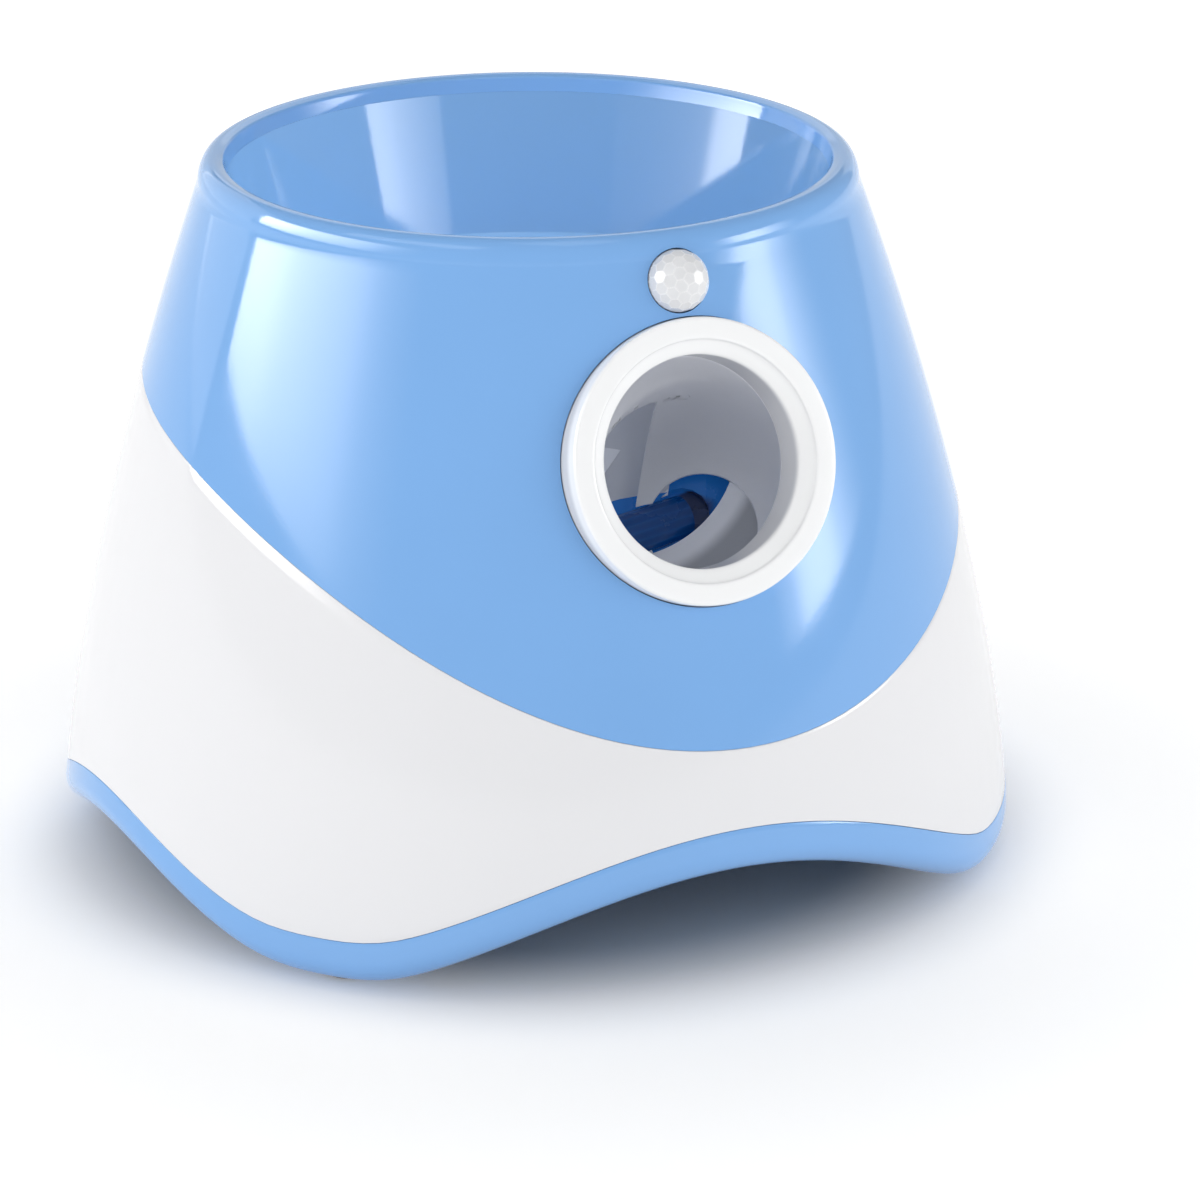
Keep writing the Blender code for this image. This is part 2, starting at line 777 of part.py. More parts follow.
CUP_AXIS = Vector((0, math.cos(LAUNCH_PITCH), -math.sin(LAUNCH_PITCH)))
CUP_UP = Vector((0, math.sin(LAUNCH_PITCH), math.cos(LAUNCH_PITCH)))


def cup_point(distance):
    return Vector((0, 0, MUZZLE_HEIGHT)) + CUP_AXIS * distance


def end_frame():
    """A frame at the cup's end: local X along its axis, local Y to the left, local Z up."""
    turn = Matrix((CUP_AXIS, Vector((-1, 0, 0)), CUP_UP)).transposed().to_4x4()
    return Matrix.Translation(cup_point(CUP_LENGTH)) @ turn


def end_rod(name, radius, left, high, start, end, steps=CUP_STEPS):
    """A cutter along the cup's axis, at a place in the end frame."""
    frame = end_frame()
    return rod(name, radius, frame @ Vector((start, left, high)), frame @ Vector((end, left, high)), parent=LAUNCH, steps=steps)


def bar_points():
    """Start and end of the kicker's bar, in the end frame."""
    start = Vector((BAR_DEPTH, BAR_LEFT, BAR_UP))
    sideways = math.cos(BAR_LIFT)
    way = Vector((-math.sin(BAR_LIFT), sideways * math.cos(BAR_TURN), -sideways * math.sin(BAR_TURN)))
    return start, start + way * BAR_LENGTH


def bar_notch():
    """Room in the cup for the bar, and behind it for its way back."""
    start, end = bar_points()
    frame = end_frame()
    radius = BAR_RADIUS + NOTCH_CLEARANCE
    notch = rod("bar_notch", radius, frame @ start, frame @ end, parent=LAUNCH, steps=ROUND_STEPS)
    way = (end - start).normalized()
    side = way.cross(Vector((1, 0, 0))).normalized()
    back = way.cross(side)
    if back.x < 0:
        back = -back
        side = -side
    turn = Matrix((side, back, side.cross(back))).transposed().to_4x4()
    place = frame @ Matrix.Translation((start + end) / 2) @ turn
    size = (2 * radius, BAR_LENGTH, BAR_LENGTH)
    room = block("bar_room", size, (0, BAR_LENGTH / 2, 0), parent=LAUNCH, matrix=place)
    return notch, room


def make_guard():
    """The crescent that stands behind the right of the aperture, in one with the cup."""
    rim = APERTURE_RADIUS + GUARD_RIM
    low = end_rod("guard_collar", rim, 0, 0, CUP_WALL / 2, GUARD_DEPTH)
    cut(low, end_rod("guard_bore", rim - GUARD_WALL, 0, 0, -OVERRUN, GUARD_DEPTH + OVERRUN))
    far = GUARD_RIDGE_RADIUS + 2 * rim
    near = GUARD_EDGE_RADIUS - GUARD_WALL
    profile = [
        (far, -GUARD_DEPTH + GUARD_WALL + SEAM),
        (far, -GUARD_DEPTH + SEAM),
        (GUARD_RIDGE_RADIUS, -GUARD_RIDGE_DEPTH - GUARD_WALL),
        (near, -GUARD_EDGE_DEPTH - GUARD_WALL / 2),
        (near, -GUARD_EDGE_DEPTH),
        (GUARD_RIDGE_RADIUS, -GUARD_RIDGE_DEPTH),
    ]
    centre = end_frame() @ Vector((0, GUARD_LEFT, GUARD_UP))
    dish = turned("guard_dish", profile, None, LAUNCH, along(centre, centre - CUP_AXIS), 2 * DISC_STEPS)
    end = GUARD_DEPTH + OVERRUN
    combine(dish, end_rod("guard_outline", rim - GUARD_WALL / 2, 0, 0, -OVERRUN, end), "INTERSECT")
    edge = end_rod("guard_edge", GUARD_EDGE_RADIUS, GUARD_LEFT, GUARD_UP, -OVERRUN, end, 2 * DISC_STEPS)
    return cut(join(low, dish), edge)


def make_launch_cup():
    world = launch_to_world().inverted()
    ring = wall_frame(0, MUZZLE_HEIGHT, MUZZLE_PITCH)
    ring_in = (world.to_3x3() @ (ring.to_3x3() @ Vector((0, 0, -1)))).normalized()
    side = (world.to_3x3() @ (ring.to_3x3() @ Vector((1, 0, 0)))).normalized()
    mouth = world @ (ring @ Vector((0, 0, -RING_DEPTH - SEAM)))
    rows = []

    def circle(centre, axis, radius):
        across = (side - axis * side.dot(axis)).normalized()
        up = across.cross(axis)
        return [
            centre + (across * math.cos(t) + up * math.sin(t)) * radius
            for t in (math.tau * k / CUP_STEPS for k in range(CUP_STEPS))
        ]

    joined = cup_point(RING_DEPTH + CUP_BEND)
    for share in CUP_BEND_SHARES:
        start = mouth.lerp(mouth + ring_in * (CUP_BEND / 2), share)
        end = (joined - CUP_AXIS * (CUP_BEND / 2)).lerp(joined, share)
        axis = ring_in.lerp(CUP_AXIS, smooth(share)).normalized()
        rows.append(circle(start.lerp(end, share), axis, mix(BORE_RADIUS, CUP_BODY_RADIUS, smooth(share))))
    rows.append(circle(cup_point(CUP_STRAIGHT), CUP_AXIS, CUP_BODY_RADIUS))
    for turn in [math.pi / 2 * k / 5 for k in range(1, 6)]:
        distance = mix(CUP_STRAIGHT, CUP_LENGTH, math.sin(turn))
        radius = mix(APERTURE_RADIUS, CUP_BODY_RADIUS, math.cos(turn))
        rows.append(circle(cup_point(distance), CUP_AXIS, radius))
    cup = lofted("launch_cup", rows, cup_point(CUP_STRAIGHT), "white_plastic", LAUNCH)
    thicken(cup, CUP_WALL, outwards=True)
    port = rod("feed_port", CHUTE_RADIUS, chute_point(CHUTE_START), chute_point(CHUTE_RUN), parent=LAUNCH, steps=CUP_STEPS)
    ring_room = rod(
        "ring_room",
        RING_RADIUS + SEAM,
        ring @ Vector((0, 0, -RING_DEPTH - SEAM)),
        ring @ Vector((0, 0, OVERRUN)),
        steps=DISC_STEPS,
    )
    join(cup, make_guard())
    return cut(cup, port, ring_room, *bar_notch())


def chute_point(distance):
    """A point on the ball's path, from the seat in the cup out to the throat."""
    seat = cup_point(BALL_SEAT)
    out = Vector((-1, 0, 0)) * math.cos(CHUTE_PITCH) + Vector((0, 0, 1)) * math.sin(CHUTE_PITCH)
    return seat + out * distance


def make_feed_chute():
    top = THROAT_HEIGHT - THROAT_COLLAR - HOPPER_WALL - SEAM
    across = Vector((0, 1, 0))
    section = [math.pi / 2 * k / 5 for k in range(6)]
    near = chute_point(CHUTE_START)
    far = chute_point(CHUTE_RUN)
    stations = [(near.lerp(far, k / 3), across) for k in range(4)]
    end_steps = 12
    for k in range(1, end_steps):
        turn = math.pi * k / end_steps
        stations.append((far, Vector((-math.sin(turn), math.cos(turn), 0))))
    stations += [(far.lerp(near, k / 3), -across) for k in range(4)]
    rows = []
    for q in section:
        rows.append([spot + way * (CHUTE_RADIUS * math.sin(q)) - Vector((0, 0, CHUTE_RADIUS * math.cos(q))) for spot, way in stations])
    rows.append([Vector((spot.x, spot.y, top)) + way * CHUTE_RADIUS for spot, way in stations])
    inside = near.lerp(far, 0.5)
    chute = lofted("feed_chute", rows, inside, "white_plastic", LAUNCH, closed=False)
    thicken(chute, CHUTE_WALL, outwards=True)
    bore = rod(
        "cup_clearance",
        CUP_BODY_RADIUS + CUP_WALL + SEAM,
        cup_point(-CUP_STRAIGHT),
        cup_point(CUP_LENGTH + CUP_STRAIGHT),
        parent=LAUNCH,
        steps=CUP_STEPS,
    )
    ring = launch_to_world().inverted() @ wall_frame(0, MUZZLE_HEIGHT, MUZZLE_PITCH)
    mouth_room = rod(
        "mouth_clearance",
        CUP_BODY_RADIUS + CUP_WALL + SEAM,
        ring @ Vector((0, 0, 0)),
        ring @ Vector((0, 0, -RING_DEPTH - 2 * CUP_BEND)),
        parent=LAUNCH,
        steps=CUP_STEPS,
    )
    return cut(chute, bore, mouth_room)


# Kicker and gears, all in the launch frame


def tray_top():
    return UNDERSIDE_HEIGHT + WALL + FLOOR_CLEARANCE


HEAD_CENTRE = cup_point(CUP_LENGTH + ARM_BEHIND_APERTURE)
ARM_LENGTH = (HEAD_CENTRE.z - tray_top() - PIVOT_RISE) / CUP_UP.z
PIVOT = HEAD_CENTRE - CUP_UP * ARM_LENGTH


def step_from(point, direction, distance):
    return point + Vector((0, math.cos(direction), math.sin(direction))) * distance


def pitch_radius(teeth):
    return MODULE * teeth / 2


def spacing(first, second):
    return pitch_radius(first) + pitch_radius(second) + MESH_CLEARANCE


SECTOR_CENTRE = step_from(PIVOT, SECTOR_DIRECTION, spacing(KICKER_TEETH, SECTOR_TEETH))
SECOND_CENTRE = step_from(SECTOR_CENTRE, SECOND_DIRECTION, spacing(SECTOR_TEETH, PINION_TEETH))
FIRST_CENTRE = step_from(SECOND_CENTRE, FIRST_DIRECTION, spacing(WHEEL_TEETH, PINION_TEETH))
MOTOR_CENTRE = step_from(FIRST_CENTRE, MOTOR_DIRECTION, spacing(WHEEL_TEETH, PINION_TEETH))

PLANE_A = INNER_PLATE_SIDE + PLATE + PLATE_GAP
PLANE_B = PLANE_A + PLANE_PITCH
PLANE_C = PLANE_B + PLANE_PITCH
OUTER_PLATE_SIDE = PLANE_C + FACE_WIDTH + PLATE_GAP


def gear_outline(centre, teeth, phase, kept=None, middle=0.0):
    """A toothed outline in YZ. With kept set, only that many teeth about the middle angle stand."""
    pitch = pitch_radius(teeth)
    tip = pitch + TOOTH_TIP_SHARE * MODULE
    root = pitch - TOOTH_ROOT_SHARE * MODULE
    tooth = math.tau / teeth
    outline = []
    for k in range(teeth):
        angle = phase + tooth * k
        away = abs((angle - middle + math.pi) % math.tau - math.pi)
        standing = kept is None or away < tooth * kept / 2
        flanks = zip(TOOTH_FLANK_SHARES, (root, tip, tip, root)) if standing else ((0, root),)
        for share, radius in flanks:
            turn = angle + tooth * share
            outline.append((centre.y + radius * math.cos(turn), centre.z + radius * math.sin(turn)))
    return outline


def mesh_phase(direction, driver_teeth, driver_phase, teeth):
    """Phase of a gear whose gap meets the driver's tooth along the line of centres."""
    driver_tooth = math.tau / driver_teeth
    offset = (driver_phase - direction) / driver_tooth
    return direction + math.pi + (1 / 2 - offset) * math.tau / teeth


KICKER_PHASE = SECTOR_DIRECTION
SECTOR_PHASE = mesh_phase(SECTOR_DIRECTION, KICKER_TEETH, KICKER_PHASE, SECTOR_TEETH)
SECOND_PHASE = mesh_phase(SECOND_DIRECTION, SECTOR_TEETH, SECTOR_PHASE, PINION_TEETH)
FIRST_PHASE = mesh_phase(FIRST_DIRECTION, WHEEL_TEETH, SECOND_PHASE, PINION_TEETH)
MOTOR_PHASE = mesh_phase(MOTOR_DIRECTION, WHEEL_TEETH, FIRST_PHASE, PINION_TEETH)


def cross_rod(name, radius, centre, low, high, finish=None, steps=SMALL_STEPS):
    """A rod along the launch frame's X through a centre in YZ."""
    start = Vector((low, centre.y, centre.z))
    end = Vector((high, centre.y, centre.z))
    return rod(name, radius, start, end, finish, LAUNCH, steps)


def pivoted(obj, centre):
    """Moves an object's origin onto an axis through centre, leaving its shape in place."""
    shift = obj.matrix_basis.inverted() @ Vector((0, centre.y, centre.z))
    obj.data.transform(Matrix.Translation(-shift))
    obj.matrix_basis = obj.matrix_basis @ Matrix.Translation(shift)
    return obj


def make_sector_gear():
    full = gear_outline(SECTOR_CENTRE, SECTOR_TEETH, SECTOR_PHASE)
    middle = SECTOR_DIRECTION + math.pi - math.tau / SECTOR_TEETH * (STROKE_TEETH / 2 - 1)
    partial = gear_outline(SECTOR_CENTRE, SECTOR_TEETH, SECTOR_PHASE, STROKE_TEETH, middle)
    gear = slab("sector_gear", full, PLANE_C, PLANE_C + FACE_WIDTH, "natural_nylon", LAUNCH)
    pivoted(gear, SECTOR_CENTRE)
    lower = slab("sector_part", partial, PLANE_A, PLANE_A + FACE_WIDTH, None, LAUNCH)
    low = PLANE_A + PLATE_GAP
    hub = cross_rod("sector_hub", SECTOR_HUB_RADIUS, SECTOR_CENTRE, low, PLANE_C + PLATE_GAP, steps=ROUND_STEPS)
    bore = gear_bore("sector_bore", SECTOR_CENTRE)
    return cut(join(gear, hub, lower), bore)


def gear_bore(name, centre):
    return cross_rod(name, GEAR_AXLE_RADIUS + RUNNING_GAP, centre, 0, OUTER_PLATE_SIDE + OVERRUN)


def make_compound_gear(name, centre, wheel_plane, wheel_phase, pinion_plane, pinion_phase):
    wheel = gear_outline(centre, WHEEL_TEETH, wheel_phase)
    pinion = gear_outline(centre, PINION_TEETH, pinion_phase)
    gear = pivoted(slab(name, wheel, wheel_plane, wheel_plane + FACE_WIDTH, "natural_nylon", LAUNCH), centre)
    low = min(wheel_plane + PLATE_GAP, pinion_plane)
    high = max(wheel_plane + PLATE_GAP, pinion_plane + FACE_WIDTH)
    small = slab(f"{name}_pinion", pinion, low, high, None, LAUNCH)
    return cut(join(gear, small), gear_bore(f"{name}_bore", centre))


def make_gears():
    make_sector_gear()
    make_compound_gear("second_gear", SECOND_CENTRE, PLANE_B, SECOND_PHASE, PLANE_C, SECOND_PHASE)
    make_compound_gear("first_gear", FIRST_CENTRE, PLANE_A, FIRST_PHASE, PLANE_B, FIRST_PHASE)
    outline = gear_outline(MOTOR_CENTRE, PINION_TEETH, MOTOR_PHASE)
    pinion = slab("motor_pinion", outline, PLANE_A, PLANE_A + FACE_WIDTH, "natural_nylon", LAUNCH)
    pivoted(pinion, MOTOR_CENTRE)
    cut(pinion, cross_rod("pinion_bore", MOTOR_SHAFT_RADIUS + SEAM, MOTOR_CENTRE, 0, OUTER_PLATE_SIDE))
    for name, centre in (("sector", SECTOR_CENTRE), ("second", SECOND_CENTRE), ("first", FIRST_CENTRE)):
        low = INNER_PLATE_SIDE
        cross_rod(f"{name}_axle", GEAR_AXLE_RADIUS, centre, low, OUTER_PLATE_SIDE + PLATE, "steel")


def circle_points(centre, radius, steps=ROUND_STEPS):
    turns = [math.tau * k / steps for k in range(steps)]
    return [(centre.y + radius * math.cos(t), centre.z + radius * math.sin(t)) for t in turns]


def hull_outline(points):
    flat = [Vector(point) for point in points]
    return [tuple(flat[index]) for index in convex_hull_2d(flat)]


def plate_outline(centres):
    points = []
    for centre in centres:
        points += circle_points(centre, PLATE_MARGIN)
    front = min(centre.y for centre in centres)
    back = max(centre.y for centre in centres)
    points += [(front, tray_top()), (back, tray_top())]
    return hull_outline(points)


def gearbox_plate(name, centres, side):
    return slab(name, plate_outline(centres), side, side + PLATE, "natural_nylon", LAUNCH)


def make_gearbox_frame():
    posts = gearbox_posts()
    centres = [PIVOT, SECTOR_CENTRE, SECOND_CENTRE, FIRST_CENTRE, MOTOR_CENTRE] + posts[2:]
    stop = bumper_spot()
    inner_side = INNER_PLATE_SIDE - SEAM
    cross_rod("kicker_bumper", BUMPER_RADIUS, stop, -ARM_HALF_WIDTH, inner_side, "rubber", ROUND_STEPS)
    inner = gearbox_plate("gearbox_plate_inner", centres + [stop], INNER_PLATE_SIDE)
    outer = gearbox_plate("gearbox_plate_outer", centres, OUTER_PLATE_SIDE)
    cut(inner, cross_rod("hub_window", HUB_RADIUS + PLATE_GAP, PIVOT, 0, PLANE_A, steps=ROUND_STEPS))
    cut(inner, cross_rod("boss_window", MOTOR_BOSS_RADIUS + SEAM, MOTOR_CENTRE, 0, PLANE_A))
    cut(outer, cross_rod("pivot_hole", KICKER_AXLE_RADIUS + SEAM, PIVOT, PLANE_A, OUTER_PLATE_SIDE + OVERRUN))
    for number, centre in enumerate((SECTOR_CENTRE, SECOND_CENTRE, FIRST_CENTRE), 1):
        hole = cross_rod(f"axle_hole_{number}", GEAR_AXLE_RADIUS + SEAM, centre, 0, OUTER_PLATE_SIDE + OVERRUN)
        cut(inner, hole)
        cut(outer, hole)
    for number, spot in enumerate(posts, 1):
        low = INNER_PLATE_SIDE + PLATE + SEAM
        cross_rod(f"gearbox_post_{number}", GEARBOX_POST_RADIUS, spot, low, OUTER_PLATE_SIDE - SEAM, "steel")
    bracket_points = circle_points(PIVOT, PLATE_MARGIN + HUB_RADIUS / 2)
    reach = PLATE_MARGIN + HUB_RADIUS
    bracket_points += [(PIVOT.y - reach, tray_top()), (PIVOT.y + reach, tray_top())]
    outline = hull_outline(bracket_points)
    bracket = slab("kicker_bracket", outline, BRACKET_SIDE, BRACKET_SIDE + PLATE, "natural_nylon", LAUNCH)
    cut(bracket, cross_rod("bracket_hole", KICKER_AXLE_RADIUS + SEAM, PIVOT, BRACKET_SIDE - OVERRUN, 0))


def gearbox_posts():
    """Three spacers between the plates, clear of the gears."""
    low = tray_top() + GEARBOX_POST_RADIUS + PLATE_GAP
    front = Vector((0, mix(PIVOT.y, SECTOR_CENTRE.y, FRONT_POST_SHARE), low))
    back = Vector((0, mix(SECOND_CENTRE.y, FIRST_CENTRE.y, BACK_POST_SHARE), low))
    reach = pitch_radius(PINION_TEETH) + MODULE + GEARBOX_POST_RADIUS + PLATE_GAP
    end = step_from(MOTOR_CENTRE, POST_DIRECTION, reach)
    return [front, back, end]


def bumper_spot():
    """Centre of the rubber stop that the arm rests against."""
    half = mix(HUB_RADIUS, ARM_WAIST, BUMPER_SHARE)
    return PIVOT + CUP_UP * (ARM_LENGTH * BUMPER_SHARE) - CUP_AXIS * (half + SEAM + BUMPER_RADIUS)


def make_head_plate():
    """The plate behind the aperture, with a pocket round the bar's foot and a facet to its right."""
    frame = end_frame()
    centre = Vector((0, HEAD_PLATE_LEFT, HEAD_PLATE_UP))
    outline = circle_points(centre, HEAD_PLATE_RADIUS, CUP_STEPS)
    plate = slab("head_plate", outline, PLATE_DEPTH, PLATE_DEPTH + HEAD_PLATE, None, LAUNCH, frame)
    pocket_end = PLATE_DEPTH + BAR_POCKET_DEPTH
    pocket = end_rod("bar_pocket", BAR_POCKET_RADIUS, BAR_LEFT, BAR_UP, 0, pocket_end, ROUND_STEPS)
    hinge = Matrix.Translation((PLATE_DEPTH, -HEAD_FACET_RIGHT, 0)) @ Matrix.Rotation(HEAD_FACET_TILT, 4, "Z")
    size = (HEAD_PLATE, 2 * HEAD_PLATE_RADIUS, 4 * HEAD_PLATE_RADIUS)
    facet = block("head_facet", size, (-HEAD_PLATE / 2, -HEAD_PLATE_RADIUS, 0), parent=LAUNCH, matrix=frame @ hinge)
    return cut(plate, pocket, facet)


def make_kicker_bar():
    start, end = bar_points()
    frame = end_frame()
    return rod("kicker_bar", BAR_RADIUS, frame @ start, frame @ end, parent=LAUNCH, steps=ROUND_STEPS)


def make_kicker():
    axis_side = PLANE_A + FACE_WIDTH
    hub_side = BRACKET_SIDE + PLATE + PLATE_GAP
    middle = SECTOR_DIRECTION + math.tau / KICKER_TEETH * (STROKE_TEETH - 1) / 2
    teeth = gear_outline(PIVOT, KICKER_TEETH, KICKER_PHASE, STROKE_TEETH, middle)
    arm = pivoted(slab("kicker_arm", teeth, PLANE_A, axis_side, "royal_plastic", LAUNCH), PIVOT)
    hub = cross_rod("kicker_hub", HUB_RADIUS, PIVOT, -ARM_HALF_WIDTH, PLANE_A + PLATE_GAP, steps=ROUND_STEPS)
    drum = cross_rod("kicker_drum", HUB_RADIUS / 2, PIVOT, hub_side, 0, steps=ROUND_STEPS)
    link_points = circle_points(PIVOT, HUB_RADIUS) + circle_points(HEAD_CENTRE, ARM_WAIST)
    link = slab("kicker_link", hull_outline(link_points), -ARM_HALF_WIDTH, ARM_HALF_WIDTH, None, LAUNCH)
    neck = end_rod("kicker_neck", NECK_RADIUS, 0, 0, PLATE_DEPTH + HEAD_PLATE / 2, ARM_BEHIND_APERTURE, ROUND_STEPS)
    behind = SPRING_RADIUS - SPRING_WIRE - SEAM - SPRING_PEG_RADIUS
    peg_spot = PIVOT + CUP_UP * (SPRING_LEG * SPRING_PEG_SHARE) + CUP_AXIS * behind
    peg = cross_rod("spring_peg", SPRING_PEG_RADIUS, peg_spot, hub_side + SPRING_PITCH, 0)
    join(arm, hub, drum, link, neck, peg, make_head_plate(), make_kicker_bar())
    cut(arm, cross_rod("kicker_bore", KICKER_AXLE_RADIUS + RUNNING_GAP, PIVOT, BRACKET_SIDE, OUTER_PLATE_SIDE))
    cross_rod("kicker_axle", KICKER_AXLE_RADIUS, PIVOT, BRACKET_SIDE, OUTER_PLATE_SIDE + PLATE, "steel")


def make_kicker_spring():
    """A torsion spring round the drum: one leg on the frame's foot, one behind the arm."""
    start = BRACKET_SIDE + PLATE + PLATE_GAP + SPRING_WIRE
    count = SPRING_TURNS * SPRING_POINTS
    path = []
    lean = math.atan2(CUP_UP.z, CUP_UP.y) - math.pi / 2
    first = -math.pi / 2
    sweep = math.tau * SPRING_TURNS + (lean - first)
    for k in range(count + 1):
        turn = first + sweep * k / count
        x = start + SPRING_PITCH * SPRING_TURNS * k / count
        path.append(Vector((x, PIVOT.y + SPRING_RADIUS * math.cos(turn), PIVOT.z + SPRING_RADIUS * math.sin(turn))))
    entry = path[0] - Vector((0, SPRING_LEG / 2, 0))
    leave_way = Vector((0, -math.sin(first + sweep), math.cos(first + sweep)))
    leave = path[-1] + leave_way * SPRING_LEG
    points = [entry] + path + [leave]
    curve = bpy.data.curves.new("kicker_spring", "CURVE")
    curve.dimensions = "3D"
    curve.bevel_depth = SPRING_WIRE
    curve.bevel_resolution = 1
    curve.use_fill_caps = True
    spline = curve.splines.new("POLY")
    spline.points.add(len(points) - 1)
    for slot, point in zip(spline.points, points):
        slot.co = (*point, 1.0)
    curve.materials.append(material("steel"))
    obj = bpy.data.objects.new("kicker_spring", curve)
    PARTS.objects.link(obj)
    obj.parent = LAUNCH
    print("least gap between the spring's turns, mm:", round(1000 * coil_gap(path), 3))
    return obj


def coil_gap(path):
    """Least clear distance between points at least half a turn apart."""
    least = SPRING_LEG
    half = SPRING_POINTS // 2
    for i, first in enumerate(path):
        for second in path[i + half :]:
            least = min(least, (first - second).length - 2 * SPRING_WIRE)
    return least


def make_motor():
    face = INNER_PLATE_SIDE - SEAM
    back = face - MOTOR_LENGTH
    edge = MOTOR_SHAFT_RADIUS
    profile = [
        (0, face + MOTOR_BOSS),
        (MOTOR_BOSS_RADIUS, face + MOTOR_BOSS),
        (MOTOR_BOSS_RADIUS, face),
        (MOTOR_RADIUS - edge, face),
        (MOTOR_RADIUS, face - edge),
        (MOTOR_RADIUS, back + edge),
        (MOTOR_RADIUS - edge, back),
        (MOTOR_BOSS_RADIUS, back),
        (MOTOR_BOSS_RADIUS, back - MOTOR_BOSS),
        (0, back - MOTOR_BOSS),
    ]
    place = along((0, MOTOR_CENTRE.y, MOTOR_CENTRE.z), (1, MOTOR_CENTRE.y, MOTOR_CENTRE.z))
    turned("motor", profile, "steel", LAUNCH, place, ROUND_STEPS, closed=False)
    shaft_start = face + MOTOR_BOSS + SEAM
    cross_rod("motor_shaft", MOTOR_SHAFT_RADIUS, MOTOR_CENTRE, shaft_start, PLANE_A + FACE_WIDTH, "steel")


# Battery compartment


def box_size():
    width = 4 * CELL_RADIUS + 3 * CELL_GAP + 2 * BOX_WALL
    length = 2 * (CELL_LENGTH + CELL_BUTTON) + 6 * CELL_GAP + 2 * BOX_WALL
    height = 2 * CELL_RADIUS + 2 * CELL_GAP + BOX_WALL
    return width, length, height


def make_battery_box():
    width, length, height = box_size()
    floor = tray_top()
    centre = (BOX_CENTRE_X, BOX_CENTRE_Y, floor + height / 2)
    box = block("battery_box", (width, length, height), centre, "dark_plastic")
    hollow = block(
        "box_hollow",
        (width - 2 * BOX_WALL, length - 2 * BOX_WALL, height),
        (BOX_CENTRE_X, BOX_CENTRE_Y, floor + height / 2 - BOX_WALL),
    )
    return cut(box, hollow)


def make_cells():
    floor = tray_top() + CELL_GAP
    number = 0
    for side in (-1, 1):
        for end in (-1, 1):
            number += 1
            x = BOX_CENTRE_X + side * (CELL_RADIUS + CELL_GAP / 2)
            near = CELL_GAP
            y = BOX_CENTRE_Y + end * near
            z = floor + CELL_RADIUS
            body = CELL_LENGTH
            profile = [
                (0, body + CELL_BUTTON),
                (CELL_BUTTON_RADIUS, body + CELL_BUTTON),
                (CELL_BUTTON_RADIUS, body),
                (CELL_RADIUS - CELL_BUTTON, body),
                (CELL_RADIUS, body - CELL_BUTTON),
                (CELL_RADIUS, CELL_BUTTON),
                (CELL_RADIUS - CELL_BUTTON, 0),
                (0, 0),
            ]
            place = along((x, y, z), (x, y + end, z))
            turned(f"cell_{number}", profile, "cell_jacket", None, place, ROUND_STEPS, closed=False)


def make_contacts():
    """Thin spring-steel plates between the cells and both ends of the box."""
    _, length, _ = box_size()
    middle = tray_top() + CELL_GAP + CELL_RADIUS
    for side, name in ((-1, "front"), (1, "back")):
        y = BOX_CENTRE_Y + side * (length / 2 - BOX_WALL - SEAM - CONTACT / 2)
        size = (2 * CELL_RADIUS, CONTACT, CELL_RADIUS)
        block(f"battery_contact_{name}", size, (BOX_CENTRE_X, y, middle), "steel")


def door_opening(gap):
    width, length, _ = box_size()
    return width - 2 * BOX_WALL - 2 * gap, length - 2 * BOX_WALL - 2 * gap


def door_axis():
    wide, _ = door_opening(DOOR_GAP)
    return Vector((BOX_CENTRE_X + wide / 2 - DOOR / 2, BOX_CENTRE_Y, UNDERSIDE_HEIGHT + DOOR / 2))


def make_battery_door():
    wide, long = door_opening(DOOR_GAP)
    axis = door_axis()
    low_x = BOX_CENTRE_X - wide / 2
    centre = ((low_x + axis.x) / 2, BOX_CENTRE_Y, axis.z)
    door = block("battery_door", (axis.x - low_x, long, DOOR), centre, "sky_plastic")
    shift = axis - Vector(centre)
    door.data.transform(Matrix.Translation(-shift))
    door.matrix_basis = Matrix.Translation(axis)
    knuckle = rod(
        "door_knuckle",
        DOOR / 2,
        axis - Vector((0, long / 2, 0)),
        axis + Vector((0, long / 2, 0)),
        steps=SMALL_STEPS,
    )
    join(door, knuckle)
    grip = rod(
        "door_grip",
        LATCH_LENGTH / 2,
        (low_x + LATCH_LENGTH / 2 + DOOR, BOX_CENTRE_Y, UNDERSIDE_HEIGHT - OVERRUN),
        (low_x + LATCH_LENGTH / 2 + DOOR, BOX_CENTRE_Y, UNDERSIDE_HEIGHT + DOOR / 3),
        steps=ROUND_STEPS,
    )
    return cut(door, grip)


def door_window():
    wide, long = door_opening(0)
    height = 4 * OVERRUN
    return block("door_window", (wide, long, height), (BOX_CENTRE_X, BOX_CENTRE_Y, UNDERSIDE_HEIGHT))


# Rear panel, inlet and circuit board


def panel_patch(name, proud, sink, margin, finish=None):
    """A patch of the housing's own surface, from proud outside the wall to sink inside it."""
    half = PANEL_HALF_ANGLE - margin / BASE_RADIUS
    columns = 8
    rows = []
    for k in range(4):
        z = mix(PANEL_LOW + margin, PANEL_HIGH - margin, k / 3)
        row = []
        for j in range(columns + 1):
            angle = math.pi - half + 2 * half * j / columns
            row.append(body_point(angle, z))
        rows.append(row)
    patch = thicken(lofted(name, rows, BODY_MIDDLE, finish, closed=False), proud + sink)
    patch.modifiers["wall"].offset = (proud - sink) / (proud + sink)
    return patch


def panel_window():
    return panel_patch("panel_window", OVERRUN, WALL + OVERRUN, 0)


def button_frame(side):
    return wall_frame(math.pi + side * BUTTON_ANGLE, BUTTON_HEIGHT)


def lens_frame(number):
    angle = math.pi + (number - (LENS_COUNT - 1) / 2) * LENS_ANGLE_STEP
    return wall_frame(angle, LENS_HEIGHT)


